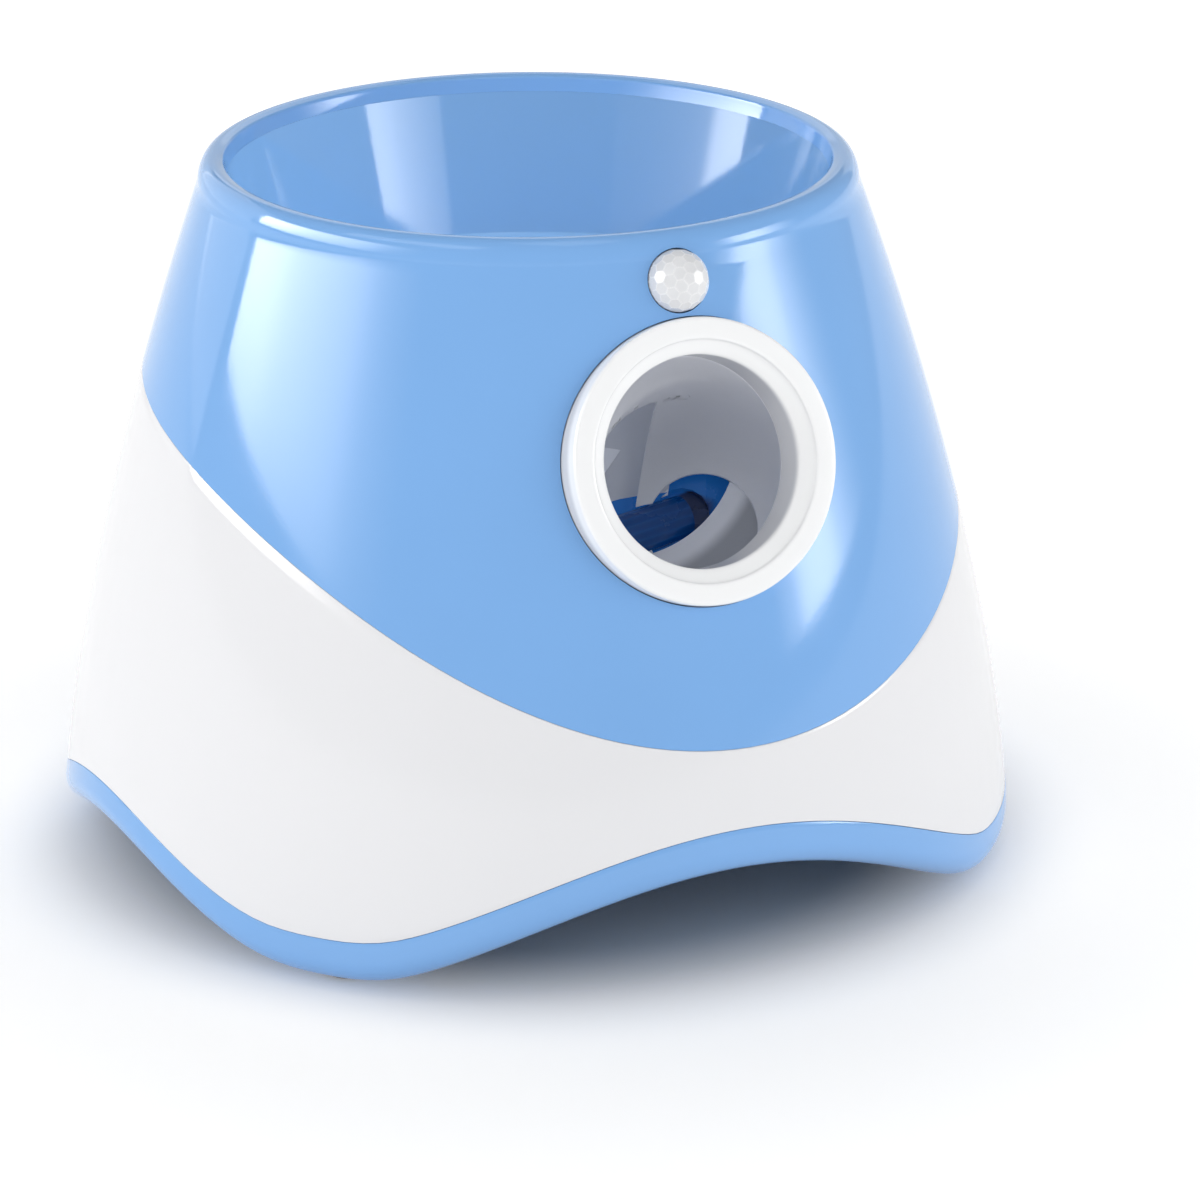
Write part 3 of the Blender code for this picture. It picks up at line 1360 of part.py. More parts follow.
def through_hole(name, frame, radius, steps=SMALL_STEPS):
    low = frame @ Vector((0, 0, -WALL - 2 * OVERRUN))
    high = frame @ Vector((0, 0, 2 * OVERRUN))
    return rod(name, radius, low, high, steps=steps)


def make_control_panel():
    panel = panel_patch("control_panel", PANEL_PROUD, WALL, SEAM, "white_plastic")
    for side, name in ((-1, "power"), (1, "range")):
        frame = button_frame(side)
        cut(panel, through_hole(f"{name}_hole", frame, BUTTON_RADIUS + BUTTON_GAP, ROUND_STEPS))
        profile = [
            (0, PANEL_PROUD + BUTTON_PROUD),
            (BUTTON_RADIUS * BUTTON_CROWN_SHARE, PANEL_PROUD + BUTTON_PROUD * BUTTON_CROWN_HEIGHT_SHARE),
            (BUTTON_RADIUS, PANEL_PROUD + BUTTON_PROUD / 2),
            (BUTTON_RADIUS, -BUTTON_DEPTH),
            (0, -BUTTON_DEPTH),
        ]
        turned(f"{name}_button", profile, "sky_plastic", None, frame, ROUND_STEPS, closed=False)
    for number in range(LENS_COUNT):
        frame = lens_frame(number)
        cut(panel, through_hole(f"lens_hole_{number + 1}", frame, LENS_RADIUS + SEAM))
        low = frame @ Vector((0, 0, PANEL_PROUD + LENS_PROUD - LENS_LENGTH))
        high = frame @ Vector((0, 0, PANEL_PROUD + LENS_PROUD))
        rod(f"range_lens_{number + 1}", LENS_RADIUS, low, high, "lens_plastic")
    return panel


def jack_hole():
    frame = wall_frame(math.pi, JACK_HEIGHT)
    return through_hole("jack_hole", frame, JACK_RADIUS + SEAM, ROUND_STEPS)


def make_power_inlet():
    frame = wall_frame(math.pi, JACK_HEIGHT)
    profile = [
        (JACK_LIP_RADIUS - JACK_LIP / 2, JACK_LIP + SEAM),
        (JACK_LIP_RADIUS, JACK_LIP / 2 + SEAM),
        (JACK_LIP_RADIUS, SEAM),
        (JACK_RADIUS, SEAM),
        (JACK_RADIUS, -JACK_LENGTH),
        (0, -JACK_LENGTH),
        (0, -JACK_LIP),
        (JACK_PIN_RADIUS, -JACK_LIP - JACK_PIN_RADIUS / 2),
        (JACK_PIN_RADIUS, -JACK_BORE),
        (JACK_BORE_RADIUS, -JACK_BORE),
        (JACK_BORE_RADIUS, JACK_LIP + SEAM),
    ]
    return turned("power_inlet", profile, "dark_plastic", None, frame, ROUND_STEPS)


def board_y():
    return body_point(math.pi, PANEL_LOW).y - WALL - BOARD_BEHIND_WALL


def make_main_board():
    y = board_y()
    floor = 0
    for x in (0, BOARD_WIDTH / 4, BOARD_WIDTH / 2):
        for depth in (y - BOARD / 2, y + BOARD / 2):
            floor = max(floor, underside(math.pi - math.atan2(x, depth), math.hypot(x, depth) / BASE_RADIUS))
    low = floor + WALL + BOARD_LIFT
    high = PANEL_HIGH + BOARD_ABOVE_PANEL
    board = block("main_board", (BOARD_WIDTH, BOARD, high - low), (0, y, (low + high) / 2), "circuit_board")
    start = (0, y + BOARD / 2 + SEAM, BUZZER_HEIGHT)
    end = (0, y + BOARD / 2 + SEAM + BUZZER_LENGTH, BUZZER_HEIGHT)
    rod("buzzer", BUZZER_RADIUS, start, end, "dark_plastic", steps=ROUND_STEPS)
    return board


# Motion sensor


def make_motion_sensor():
    seat = wall_frame(0, SENSOR_HEIGHT)
    outer = []
    inner = []
    steps = 4
    for k in range(steps + 1):
        turn = math.pi / 2 * (1 - k / steps)
        outer.append((DOME_RADIUS * math.cos(turn), DOME_RISE * math.sin(turn)))
        inside = DOME_RADIUS - DOME_WALL
        inner.append((inside * math.cos(turn), (DOME_RISE - DOME_WALL) * math.sin(turn)))
    outer[0] = (0, DOME_RISE)
    inner[0] = (0, DOME_RISE - DOME_WALL)
    base = -DOME_SKIRT
    profile = outer + [(DOME_RADIUS, base), (DOME_RADIUS - DOME_WALL, base)] + inner[::-1]
    turned("sensor_lens", profile, "lens_plastic", None, seat, ROUND_STEPS, closed=False)
    inner_radius = body_radius(SENSOR_HEIGHT) - WALL
    bulge = inner_radius - math.sqrt(inner_radius**2 - (SENSOR_BOARD_WIDTH / 2) ** 2)
    board_top = -WALL - SEAM - bulge
    centre = (0, 0, board_top - SENSOR_BOARD / 2)
    block("sensor_board", (SENSOR_BOARD_WIDTH, SENSOR_BOARD_TALL, SENSOR_BOARD), centre, "circuit_board", None, seat)
    low = seat @ Vector((0, 0, board_top + SEAM))
    high = seat @ Vector((0, 0, board_top + SEAM + SENSOR_CAN_LENGTH))
    rod("sensor_can", SENSOR_CAN_RADIUS, low, high, "steel", steps=ROUND_STEPS)


def build():
    tray = make_base_tray()
    cut(tray, door_window())
    make_base_screws()
    make_foot_pads()
    make_side_shell()
    make_upper_shell()
    make_hopper()
    make_muzzle_ring()
    make_launch_cup()
    make_feed_chute()
    make_gearbox_frame()
    make_gears()
    make_kicker()
    make_kicker_spring()
    make_motor()
    make_battery_box()
    make_cells()
    make_contacts()
    make_battery_door()
    make_control_panel()
    make_power_inlet()
    make_main_board()
    make_motion_sensor()


build()
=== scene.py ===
"""The ball launcher's finished surfaces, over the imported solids: glossy shells, muzzle, hopper and base.

Metres, +Z up, muzzle towards -Y. Angles round the housing run from the front (-Y) towards +X.
"""

import json
import math
import bpy
from mathutils import Matrix, Vector


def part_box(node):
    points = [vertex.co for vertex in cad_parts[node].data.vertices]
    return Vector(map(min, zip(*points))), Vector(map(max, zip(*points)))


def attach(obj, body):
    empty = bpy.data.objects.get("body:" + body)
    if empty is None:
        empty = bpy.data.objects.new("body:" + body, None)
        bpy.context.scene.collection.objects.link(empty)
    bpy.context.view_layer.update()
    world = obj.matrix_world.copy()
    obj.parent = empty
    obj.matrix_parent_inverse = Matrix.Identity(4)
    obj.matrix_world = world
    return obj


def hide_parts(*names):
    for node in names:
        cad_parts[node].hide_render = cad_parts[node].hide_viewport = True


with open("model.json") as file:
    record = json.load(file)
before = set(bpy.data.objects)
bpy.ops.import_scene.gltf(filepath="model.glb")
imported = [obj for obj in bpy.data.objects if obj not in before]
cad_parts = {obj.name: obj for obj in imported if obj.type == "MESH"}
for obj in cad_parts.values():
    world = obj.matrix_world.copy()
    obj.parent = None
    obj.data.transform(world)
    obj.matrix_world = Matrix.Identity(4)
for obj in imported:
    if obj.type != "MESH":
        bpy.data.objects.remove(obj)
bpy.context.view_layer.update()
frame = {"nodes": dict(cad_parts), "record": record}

# Housing, the same sizes as the solids
BODY_HEIGHT = 0.183
BASE_RADIUS = 0.125
DRAW_IN = 0.0427
DRAW_IN_POWER = 1.55
LEAN_BACK = 0.0024
WALL = 0.0024
SEAM = 0.0003
HAIRLINE = 0.00008
EDGE = 0.0002
FINE_EDGE = 0.0003
OVERRUN = 0.004
SWOOP_SHARE = 0.5791
SWOOP_WAVE_SHARES = (0.1799, 0.0403, 0.0274)
SWOOP_LEAN_SHARES = (-0.0514, 0.0089)
ARCH_FRONT = 0.0275
ARCH_SIDE = 0.0185
ARCH_FRONT_SHARE = 0.62
ARCH_SIDE_SHARE = 0.75
FOOT_START = math.radians(44.0)
FOOT_END = math.radians(56.0)
FOOT_LIFT = 0.0015
BAND_HEIGHT = 0.0121
BAND_ROLL = 0.008
UNDERSIDE_HEIGHT = 0.018
UNDERSIDE_SHARE = 0.68
PAD_RADIUS = 0.0075
PAD_SINK = 0.0022
PAD_RING = 0.109
BOSS_TOP = 0.009
BOSS_RIM = 0.0022
BOSS_EDGE = 0.0004
SCREW_RING = 0.111
SCREW_TURN = math.radians(13.0)
SCREW_RECESS = 0.0035
SCREW_BOSS_RADIUS = 0.0048
SCREW_BOSS = 0.003
DOOR_GAP = 0.0004
DOOR_WINDOW_DEPTH = 0.016
FOOT_ANGLE = math.radians(50.0)
FOOT_ANGLES = (FOOT_ANGLE, math.pi - FOOT_ANGLE, math.pi + FOOT_ANGLE, -FOOT_ANGLE)

# Rim and hopper
RIM_START = 0.0065
RIM_CREST_IN = 0.0042
RIM_INNER_RADIUS = 0.0777
RIM_INNER_DROP = 0.0009
RIM_LIP = 0.0034
RIM_NOSE = 0.0009
HOPPER_WALL = 0.002
HOPPER_TAPER = 0.295
HOPPER_CORNER_HEIGHT = 0.1441
HOPPER_CORNER_TIP = 0.0056
HOPPER_TIP_ANGLE = math.radians(-25.0)
HOPPER_BEND = 0.0045
HOPPER_BEND_GATHER = 1.6
THROAT_RADIUS = 0.029
THROAT_HEIGHT = 0.136
THROAT_COLLAR = 0.0035

# Muzzle, cup and what shows behind it
MUZZLE_HEIGHT = 0.1295
MUZZLE_PITCH = math.radians(18.0)
RING_RADIUS = 0.0353
RING_PROUD = 0.002
RING_DEPTH = 0.011
RING_WALL = 0.002
RING_ROUNDING = 0.0009
RING_EDGE = 0.0012
RING_EDGE_RISE = 0.001
RING_FACE_DROP = 0.00004
RING_LIP = 0.0006
RING_FACE = ((0.0336, 0.00012), (0.0326, RING_FACE_DROP), (0.0315, 0.00003))
FUNNEL_RADIUS = 0.0298
FUNNEL_END = 0.0012
BORE_START = 0.0024
BORE_RADIUS = 0.0262
LAUNCH_YAW = math.radians(26.2)
LAUNCH_PITCH = math.radians(31.0)
CUP_LENGTH = 0.0766
CUP_BODY_RADIUS = 0.0272
CUP_STRAIGHT = 0.046
CUP_BEND = 0.016
CUP_WALL = 0.0018
APERTURE_RADIUS = 0.0142
BALL_SEAT = 0.057
GUARD_RIM = 0.0028
GUARD_DEPTH = 0.005
GUARD_WALL = 0.0016
GUARD_LEFT = 0.0225
GUARD_UP = 0.0238
GUARD_EDGE_RADIUS = 0.0317
GUARD_RIDGE_RADIUS = 0.0352
GUARD_EDGE_DEPTH = 0.0022
GUARD_RIDGE_DEPTH = 0.0014
GUARD_BEYOND = 0.003
BAR_RADIUS = 0.0057
BAR_LENGTH = 0.024
BAR_PLACE = (0.0082, 0.0052, 0.0045)
BAR_TURN = math.radians(25.0)
BAR_LIFT = math.radians(27.0)
NOTCH_CLEARANCE = 0.0008
CHUTE_RADIUS = 0.0272
CHUTE_PITCH = math.radians(9.0)
CHUTE_RUN = 0.0625
CHUTE_START = 0.016
COLLAR_WALL = 0.0013
COLLAR_GAP = 0.0003
COLLAR_START = 0.008
COLLAR_END = 0.038
COLLAR_BORE_START = -0.01
COLLAR_BORE_END = 0.05

# Rear panel, inlet and motion sensor
PANEL_LOW = 0.078
PANEL_HIGH = 0.114
PANEL_HALF_ANGLE = math.radians(16.0)
PANEL_PROUD = 0.0012
BUTTON_RADIUS = 0.0085
BUTTON_PROUD = 0.0022
BUTTON_DEPTH = 0.006
BUTTON_GAP = 0.0004
BUTTON_ANGLE = math.radians(7.0)
BUTTON_HEIGHT = 0.089
BUTTON_CROWN = ((0, 0.0005), (0.0045, 0.0004), (0.0066, 0))
BUTTON_PROFILE = (*BUTTON_CROWN, (BUTTON_RADIUS - 0.0003, 0.0003), (BUTTON_RADIUS, 0.0016))
HOLE_START = 0.012
HOLE_END = 0.008
LENS_RADIUS = 0.0016
LENS_PROUD = 0.0005
LENS_LENGTH = 0.0062
LENS_HEIGHT = 0.1055
LENS_ANGLE_STEP = math.radians(5.5)
JACK_HEIGHT = 0.063
JACK_RADIUS = 0.0055
JACK_LENGTH = 0.014
JACK_LIP_RADIUS = 0.0074
JACK_LIP = 0.0012
JACK_BORE_RADIUS = 0.0031
JACK_BORE = 0.0095
JACK_PIN_RADIUS = 0.001
SENSOR_HEIGHT = 0.1715
DOME_RADIUS = 0.0077
DOME_WALL = 0.00096
DOME_RISE = 0.0068
DOME_SKIRT = 0.0016
DOME_ROOM = 0.0064
FACET_EDGE = math.cos(math.radians(11.5))
FACET_SHARE = 0.8
FACET_LINE = 0.012

SIDES = 176
CUP_SIDES = 128
ROD_SIDES = 96
DISH_SIDES = 240
WELD = 0.00002
SHARP = math.radians(40.0)


# Modelling helpers


def deselect():
    bpy.ops.object.select_all(action="DESELECT")


def pick(obj):
    deselect()
    obj.select_set(True)
    bpy.context.view_layer.objects.active = obj
    return obj


def apply_all(obj):
    pick(obj)
    for modifier in list(obj.modifiers):
        bpy.ops.object.modifier_apply(modifier=modifier.name)
    return obj


class Editing:
    """Edit mode on one piece, with all of its mesh selected or none of it."""

    def __init__(self, obj, action="SELECT"):
        pick(obj)
        bpy.ops.object.mode_set(mode="EDIT")
        bpy.ops.mesh.select_all(action=action)

    def __enter__(self):
        return self

    def __exit__(self, *problem):
        bpy.ops.object.mode_set(mode="OBJECT")


def sleeve(name, sides, levels):
    """A circle extruded upwards again and again: ring k of the sleeve lies at height k."""
    deselect()
    bpy.ops.mesh.primitive_circle_add(vertices=sides, radius=1.0)
    obj = bpy.context.object
    obj.name = name
    with Editing(obj):
        for _ in range(levels - 1):
            bpy.ops.mesh.extrude_edges_move(TRANSFORM_OT_translate={"value": (0, 0, 1)})
    return obj


def faced_away(obj, inside):
    """Turns the faces of an open skin away from a point inside it."""
    inside = Vector(inside)
    outward = sum((face.center - inside).dot(face.normal) * face.area for face in obj.data.polygons)
    if outward < 0:
        with Editing(obj):
            bpy.ops.mesh.flip_normals()
    return obj


def shaped(obj, place, inside):
    """Puts each point of a sleeve where place(angle, ring) says."""
    for point in obj.data.vertices:
        point.co = place(math.atan2(point.co.x, -point.co.y), round(point.co.z))
    return faced_away(obj, inside)


def thicken(obj, wall, outwards=False):
    modifier = obj.modifiers.new("wall", "SOLIDIFY")
    modifier.thickness = wall
    modifier.offset = 1.0 if outwards else -1.0
    modifier.use_even_offset = True
    return apply_all(obj)


def soften(obj, width, segments=2):
    modifier = obj.modifiers.new("edges", "BEVEL")
    modifier.width = width
    modifier.segments = segments
    modifier.limit_method = "ANGLE"
    modifier.angle_limit = SHARP
    return apply_all(obj)


def direction(azimuth, elevation):
    """A unit vector out of the object, with the azimuth counted from the front towards +X."""
    level = math.cos(elevation)
    return Vector((math.sin(azimuth) * level, -math.cos(azimuth) * level, math.sin(elevation)))


def axes(right, high, out, origin):
    """A frame from its three directions and its origin."""
    turn = Matrix((right, high, out)).transposed().to_4x4()
    return Matrix.Translation(origin) @ turn


def along(start, end):
    start, end = Vector(start), Vector(end)
    return Matrix.Translation(start) @ (end - start).to_track_quat("Z", "Y").to_matrix().to_4x4()


def bar(name, radius, start, end, sides=64):
    """A plain round bar between two points."""
    length = (Vector(end) - Vector(start)).length
    deselect()
    bpy.ops.mesh.primitive_cylinder_add(vertices=sides, radius=radius, depth=length)
    obj = bpy.context.object
    obj.name = name
    obj.data.transform(along(start, end) @ Matrix.Translation((0, 0, length / 2)))
    return obj


def block(name, size, matrix):
    deselect()
    bpy.ops.mesh.primitive_cube_add(size=1.0)
    obj = bpy.context.object
    obj.name = name
    obj.data.transform(matrix @ Matrix.Diagonal((*size, 1.0)))
    return obj


def combined(obj, operation, others):
    for other in others:
        modifier = obj.modifiers.new("with", "BOOLEAN")
        modifier.operation = operation
        modifier.solver = "EXACT"
        modifier.object = other
        apply_all(obj)
        bpy.data.objects.remove(other)
    return obj


def cut(obj, *others):
    return combined(obj, "DIFFERENCE", others)


def join(obj, *others):
    return combined(obj, "UNION", others)


def smooth(obj, angle=32.0):
    pick(obj)
    bpy.ops.object.shade_smooth_by_angle(angle=math.radians(angle))
    return obj


def finished(obj, finish, body, *nodes, slot=None):
    """Gives a piece its finish and its body, and hides the solids that it stands for."""
    obj.data.materials.clear()
    obj.data.materials.append(finish)
    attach(obj, body)
    if nodes:
        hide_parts(*nodes)
    return obj


def choose_edges(obj, wanted):
    """Selects only the edges whose two ends are wanted."""
    with Editing(obj, "DESELECT"):
        pass
    for edge in obj.data.edges:
        edge.select = wanted(edge.vertices)


def spun(name, outline, matrix, sides, closed=True):
    """A turned piece: (radius, height) points down its outer side, spun about the matrix's own Z."""
    deselect()
    bpy.ops.mesh.primitive_circle_add(vertices=len(outline), radius=1.0)
    obj = bpy.context.object
    obj.name = name
    for point, (radius, height) in zip(obj.data.vertices, outline):
        point.co = (radius, 0, height)
    if not closed:
        choose_edges(obj, lambda ends: set(ends) == {0, len(outline) - 1})
        bpy.ops.object.mode_set(mode="EDIT")
        bpy.ops.mesh.delete(type="EDGE_FACE")
        bpy.ops.object.mode_set(mode="OBJECT")
    with Editing(obj):
        bpy.ops.mesh.spin(steps=sides, angle=math.tau, center=(0, 0, 0), axis=(0, 0, 1), use_auto_merge=True)
        bpy.ops.mesh.select_all(action="SELECT")
        bpy.ops.mesh.remove_doubles(threshold=0.00001)
        bpy.ops.mesh.normals_make_consistent(inside=False)
    obj.data.transform(matrix)
    return obj


def rounded(points, radius):
    """An outline of (radius, height) points with each corner but the ends rounded."""
    out = [points[0]]
    for before, corner, after in zip(points, points[1:], points[2:]):
        corner, before, after = Vector(corner), Vector(before), Vector(after)
        first = corner + (before - corner).normalized() * min(radius, (before - corner).length / 2)
        second = corner + (after - corner).normalized() * min(radius, (after - corner).length / 2)
        for share in (0, 0.25, 0.5, 0.75, 1):
            spot = first.lerp(corner, share).lerp(corner.lerp(second, share), share)
            out.append(tuple(spot))
    return out + [points[-1]]


# Finishes

SATIN_SPREAD = 0.14


class Value:
    """A shader socket that Python's own signs work on."""

    def __init__(self, nodes, socket):
        self.nodes = nodes
        self.socket = socket

    def math(self, operation, first, second):
        return self.nodes.node("ShaderNodeMath", {"operation": operation}, {0: first, 1: second})

    def __add__(self, other):
        return self.math("ADD", self, other)

    def __sub__(self, other):
        return self.math("SUBTRACT", self, other)

    def __mul__(self, other):
        return self.math("MULTIPLY", self, other)

    def __pow__(self, other):
        return self.math("POWER", self, other)


class Nodes:
    """The node tree of a material or a light."""

    def __init__(self, owner):
        owner.use_nodes = True
        self.tree = owner.node_tree

    def node(self, kind, settings=None, inputs=None, out=0):
        made = self.tree.nodes.new(kind)
        for name, value in (settings or {}).items():
            setattr(made, name, value)
        for name, value in (inputs or {}).items():
            self.feed(made.inputs[name], value)
        return Value(self, made.outputs[out])

    def feed(self, socket, value):
        if isinstance(value, Value):
            self.tree.links.new(value.socket, socket)
        else:
            socket.default_value = value


class Finish(Nodes):
    """One material and its nodes."""

    def __init__(self, name, roughness=0.3, metallic=0.0):
        self.material = bpy.data.materials.new(name)
        super().__init__(self.material)
        self.shader = self.tree.nodes["Principled BSDF"]
        self.shader.inputs["Roughness"].default_value = roughness
        self.shader.inputs["Metallic"].default_value = metallic
        self.place = self.node("ShaderNodeTexCoord", out="Object")

    def noise(self, scale, detail=3.0, place=None):
        inputs = {"Vector": place or self.place, "Scale": scale, "Detail": detail}
        return self.node("ShaderNodeTexNoise", None, inputs)

    def stretched(self, scale):
        return self.node("ShaderNodeMapping", None, {"Vector": self.place, "Scale": scale})

    def ramp(self, value, low, high):
        """Rises softly from 0 at low to 1 at high."""
        inputs = {"Value": value, "From Min": low, "From Max": high}
        return self.node("ShaderNodeMapRange", {"interpolation_type": "SMOOTHSTEP"}, inputs)

    def flow_marks(self):
        """Streaks that the plastic leaves as it fills the mould."""
        return self.noise(30.0, 6.0, self.stretched((1.0, 0.3, 1.0)))

    def along_axis(self, spot, axis):
        """Distance along a line, counted from spot."""
        inputs = {0: self.place, 1: axis}
        return self.node("ShaderNodeVectorMath", {"operation": "DOT_PRODUCT"}, inputs, "Value") - axis.dot(spot)

    def off_axis(self, spot, axis):
        """Distance from a line through spot."""
        away = self.node("ShaderNodeVectorMath", {"operation": "SUBTRACT"}, {0: self.place, 1: spot})
        across = self.node("ShaderNodeVectorMath", {"operation": "CROSS_PRODUCT"}, {0: away, 1: axis})
        return self.node("ShaderNodeVectorMath", {"operation": "LENGTH"}, {0: across}, "Value")

    def blend(self, share, first, second):
        """Two colours mixed by a value; a mix node's colours are its inputs 6 and 7 and its output 2."""
        return self.node("ShaderNodeMix", {"data_type": "RGBA"}, {"Factor": share, 6: first, 7: second}, 2)

    def bump(self, height, strength, distance=0.0002):
        inputs = {"Height": height, "Strength": strength, "Distance": distance}
        self.feed(self.shader.inputs["Normal"], self.node("ShaderNodeBump", None, inputs))
        return self

    def glow(self, value, strength):
        self.feed(self.shader.inputs["Emission Color"], value)
        self.shader.inputs["Emission Strength"].default_value = strength
        return self

    def gloss(self, roughness):
        """Rubbed patches, hairlines and a fine orange peel."""
        rubbed = self.noise(55.0, 5.0) ** 2.0
        hairline = self.noise(420.0, 2.0, self.stretched((1.0, 1.0, 0.12)))
        self.roughness(rubbed * 0.05 + hairline * 0.02 + roughness)
        return self.bump(self.noise(950.0, 2.0), 0.03)

    def satin(self, roughness, grain=1600.0, strength=0.25):
        """An uneven sheen over a spark-eroded grain."""
        self.roughness(self.noise(120.0, 4.0) * SATIN_SPREAD + roughness)
        return self.bump(self.noise(grain, 3.0), strength)

    def colour(self, value):
        self.feed(self.shader.inputs["Base Color"], value)
        return self

    def roughness(self, value):
        self.feed(self.shader.inputs["Roughness"], value)
        return self


def shade(colour, share=1.0):
    """A colour made lighter or darker, as red, green, blue and alpha."""
    return tuple(min(1.0, part * share) for part in colour) + (1.0,)


def gloss_plastic(name, colour, roughness, depth=0.95):
    """Polished moulding of a faintly cloudy colour."""
    finish = Finish(name)
    finish.colour(finish.blend(finish.noise(14.0, 4.0), shade(colour, depth), shade(colour, 2.0 - depth)))
    return finish.gloss(roughness)


def satin_plastic(name, colour, roughness=0.42, depth=0.85, grain=1600.0):
    """Satin moulding with faint flow marks."""
    finish = Finish(name)
    finish.colour(finish.blend(finish.flow_marks(), shade(colour, depth), shade(colour, 2.0 - depth)))
    return finish.satin(roughness - SATIN_SPREAD / 2, grain)


def drawn_steel():
    """Bare steel with fine lines and dull spots."""
    finish = Finish("bare_steel", metallic=1.0)
    lines = finish.noise(900.0, 2.0, finish.stretched((0.06, 1.0, 1.0)))
    spots = finish.noise(90.0, 5.0)
    finish.colour(finish.blend(spots, shade(STEEL, 0.82), shade(STEEL, 1.12)))
    finish.roughness(lines * 0.14 + spots * 0.1 + 0.14)
    return finish.bump(lines, 0.12)


def muzzle_plastic(place):
    """The ring's plastic: white on its face, with painted shade greying it down its bore."""
    finish = Finish("muzzle_white")
    height = finish.along_axis(place.translation, place.to_3x3() @ Vector((0, 0, 1)))
    face = finish.blend(finish.noise(14.0, 4.0), (0.83, 0.835, 0.84, 1.0), (0.85, 0.855, 0.86, 1.0))
    # painted shade: the bore turns grey with depth below the face
    finish.colour(finish.blend(finish.ramp(height, -0.0035, -0.0008), (0.60, 0.605, 0.63, 1.0), face))
    return finish.gloss(0.20)


def tube_plastic(world, end):
    """The launch tube's plastic: painted shade on its left fading to painted light on its right, the guard's dish
    with a painted highlight at its edge and painted shade behind, and a faint painted glow over all.
    """
    finish = Finish("tube_white")
    end = world @ end
    axis = world.to_3x3() @ CUP_AXIS
    guard = end @ Vector((0, GUARD_LEFT, GUARD_UP))
    rightwards = finish.along_axis(end.translation, world.to_3x3() @ Vector((1, 0, 0)))
    # painted shade and light: grey on the tube's left, paler towards its right
    shaded, lit = (0.60, 0.61, 0.645, 1.0), (0.86, 0.86, 0.885, 1.0)
    wall = finish.blend(finish.ramp(rightwards, -0.024, 0.03), shaded, lit)
    wall = finish.blend(finish.flow_marks() * 0.2, wall, (0.70, 0.71, 0.74, 1.0))
    inward = finish.off_axis(guard, axis)
    # painted highlight along the guard dish's edge, painted shade behind it
    dished = finish.ramp(inward, GUARD_EDGE_RADIUS + 0.0035, GUARD_EDGE_RADIUS + 0.0075)
    dish = finish.blend(dished, (0.93, 0.93, 0.95, 1.0), (0.36, 0.37, 0.40, 1.0))
    outward = finish.off_axis(end.translation, axis)
    beyond = finish.ramp(outward, APERTURE_RADIUS - 0.0001, APERTURE_RADIUS + 0.0002)
    finish.colour(finish.blend(beyond, dish, wall)).satin(0.29, 900.0, 0.2)
    # a faint painted glow, though the tube is no lamp
    return finish.glow((0.84, 0.89, 1.0, 1.0), 0.045)


def kicker_plastic(spot, axis):
    """The kicker's royal blue, deep navy along its striking bar, and a painted glow that brightens the plate but
    not the bar.
    """
    finish = Finish("kicker_blue")
    plate = finish.blend(finish.flow_marks(), (0.005, 0.12, 0.42, 1.0), (0.007, 0.15, 0.50, 1.0))
    beside = finish.ramp(finish.off_axis(spot, axis), BAR_RADIUS - 0.0003, BAR_RADIUS + 0.0006)
    finish.colour(finish.blend(beside, (0.003, 0.05, 0.22, 1.0), plate)).satin(0.2)
    # painted light: the plate glows blue, the bar gets no glow
    return finish.glow(finish.blend(beside, shade(BLACK), (0.01, 0.20, 0.70, 1.0)), 0.12)


def dusty_rubber():
    """Black rubber with dust in its pores."""
    finish = Finish("pad_rubber")
    dust = finish.noise(180.0, 6.0) ** 3.0
    finish.colour(finish.blend(dust, (0.028, 0.028, 0.031, 1.0), (0.10, 0.10, 0.105, 1.0)))
    finish.roughness(finish.noise(300.0, 4.0) * 0.15 + 0.62)
    return finish.bump(finish.noise(2200.0, 3.0), 0.4)


def green_board():
    """Solder mask with paler tracks over a woven core."""
    finish = Finish("board_green")
    inputs = {
        "Vector": finish.place,
        "Scale": 120.0,
        "Mortar Size": 0.03,
        "Color1": (0.012, 0.11, 0.045, 1.0),
        "Color2": (0.016, 0.14, 0.055, 1.0),
        "Mortar": (0.05, 0.26, 0.10, 1.0),
    }
    finish.colour(finish.node("ShaderNodeTexBrick", {"offset": 0.5}, inputs, out="Color"))
    finish.roughness(finish.noise(400.0, 3.0) * 0.2 + 0.25)
    return finish.bump(finish.noise(1300.0, 2.0), 0.2)


def faceted_lens():
    """Milky polymer with a fine line between the facets of the lens."""
    finish = Finish("sensor_lens")
    line = finish.node("ShaderNodeAttribute", {"attribute_name": "facet_line"}, out="Fac")
    cloud = finish.noise(500.0, 3.0)
    milk = finish.blend(cloud, (0.66, 0.665, 0.68, 1.0), (0.72, 0.725, 0.74, 1.0))
    finish.colour(finish.blend(line, milk, (0.79, 0.79, 0.80, 1.0)))
    finish.roughness(line * 0.08 + cloud * 0.05 + 0.2)
    return finish.bump(line, 0.15, 0.0003)


BLACK = (0.0, 0.0, 0.0)
PALE = (1.0, 1.0, 1.0)
STEEL = (0.56, 0.57, 0.58)

sky = gloss_plastic("sky_gloss", (0.190, 0.395, 0.735), 0.045).material
# A paler, greyer copy of the housing blue for the hopper's inside, tuned to how light falls in the bowl: painted
# light
bowl_sky = gloss_plastic("hopper_gloss", (0.208, 0.405, 0.69), 0.05).material
white = gloss_plastic("white_gloss", (0.735, 0.735, 0.75), 0.06, depth=0.99).material
ring_white = gloss_plastic("ring_white", (0.84, 0.845, 0.85), 0.20, depth=0.99).material
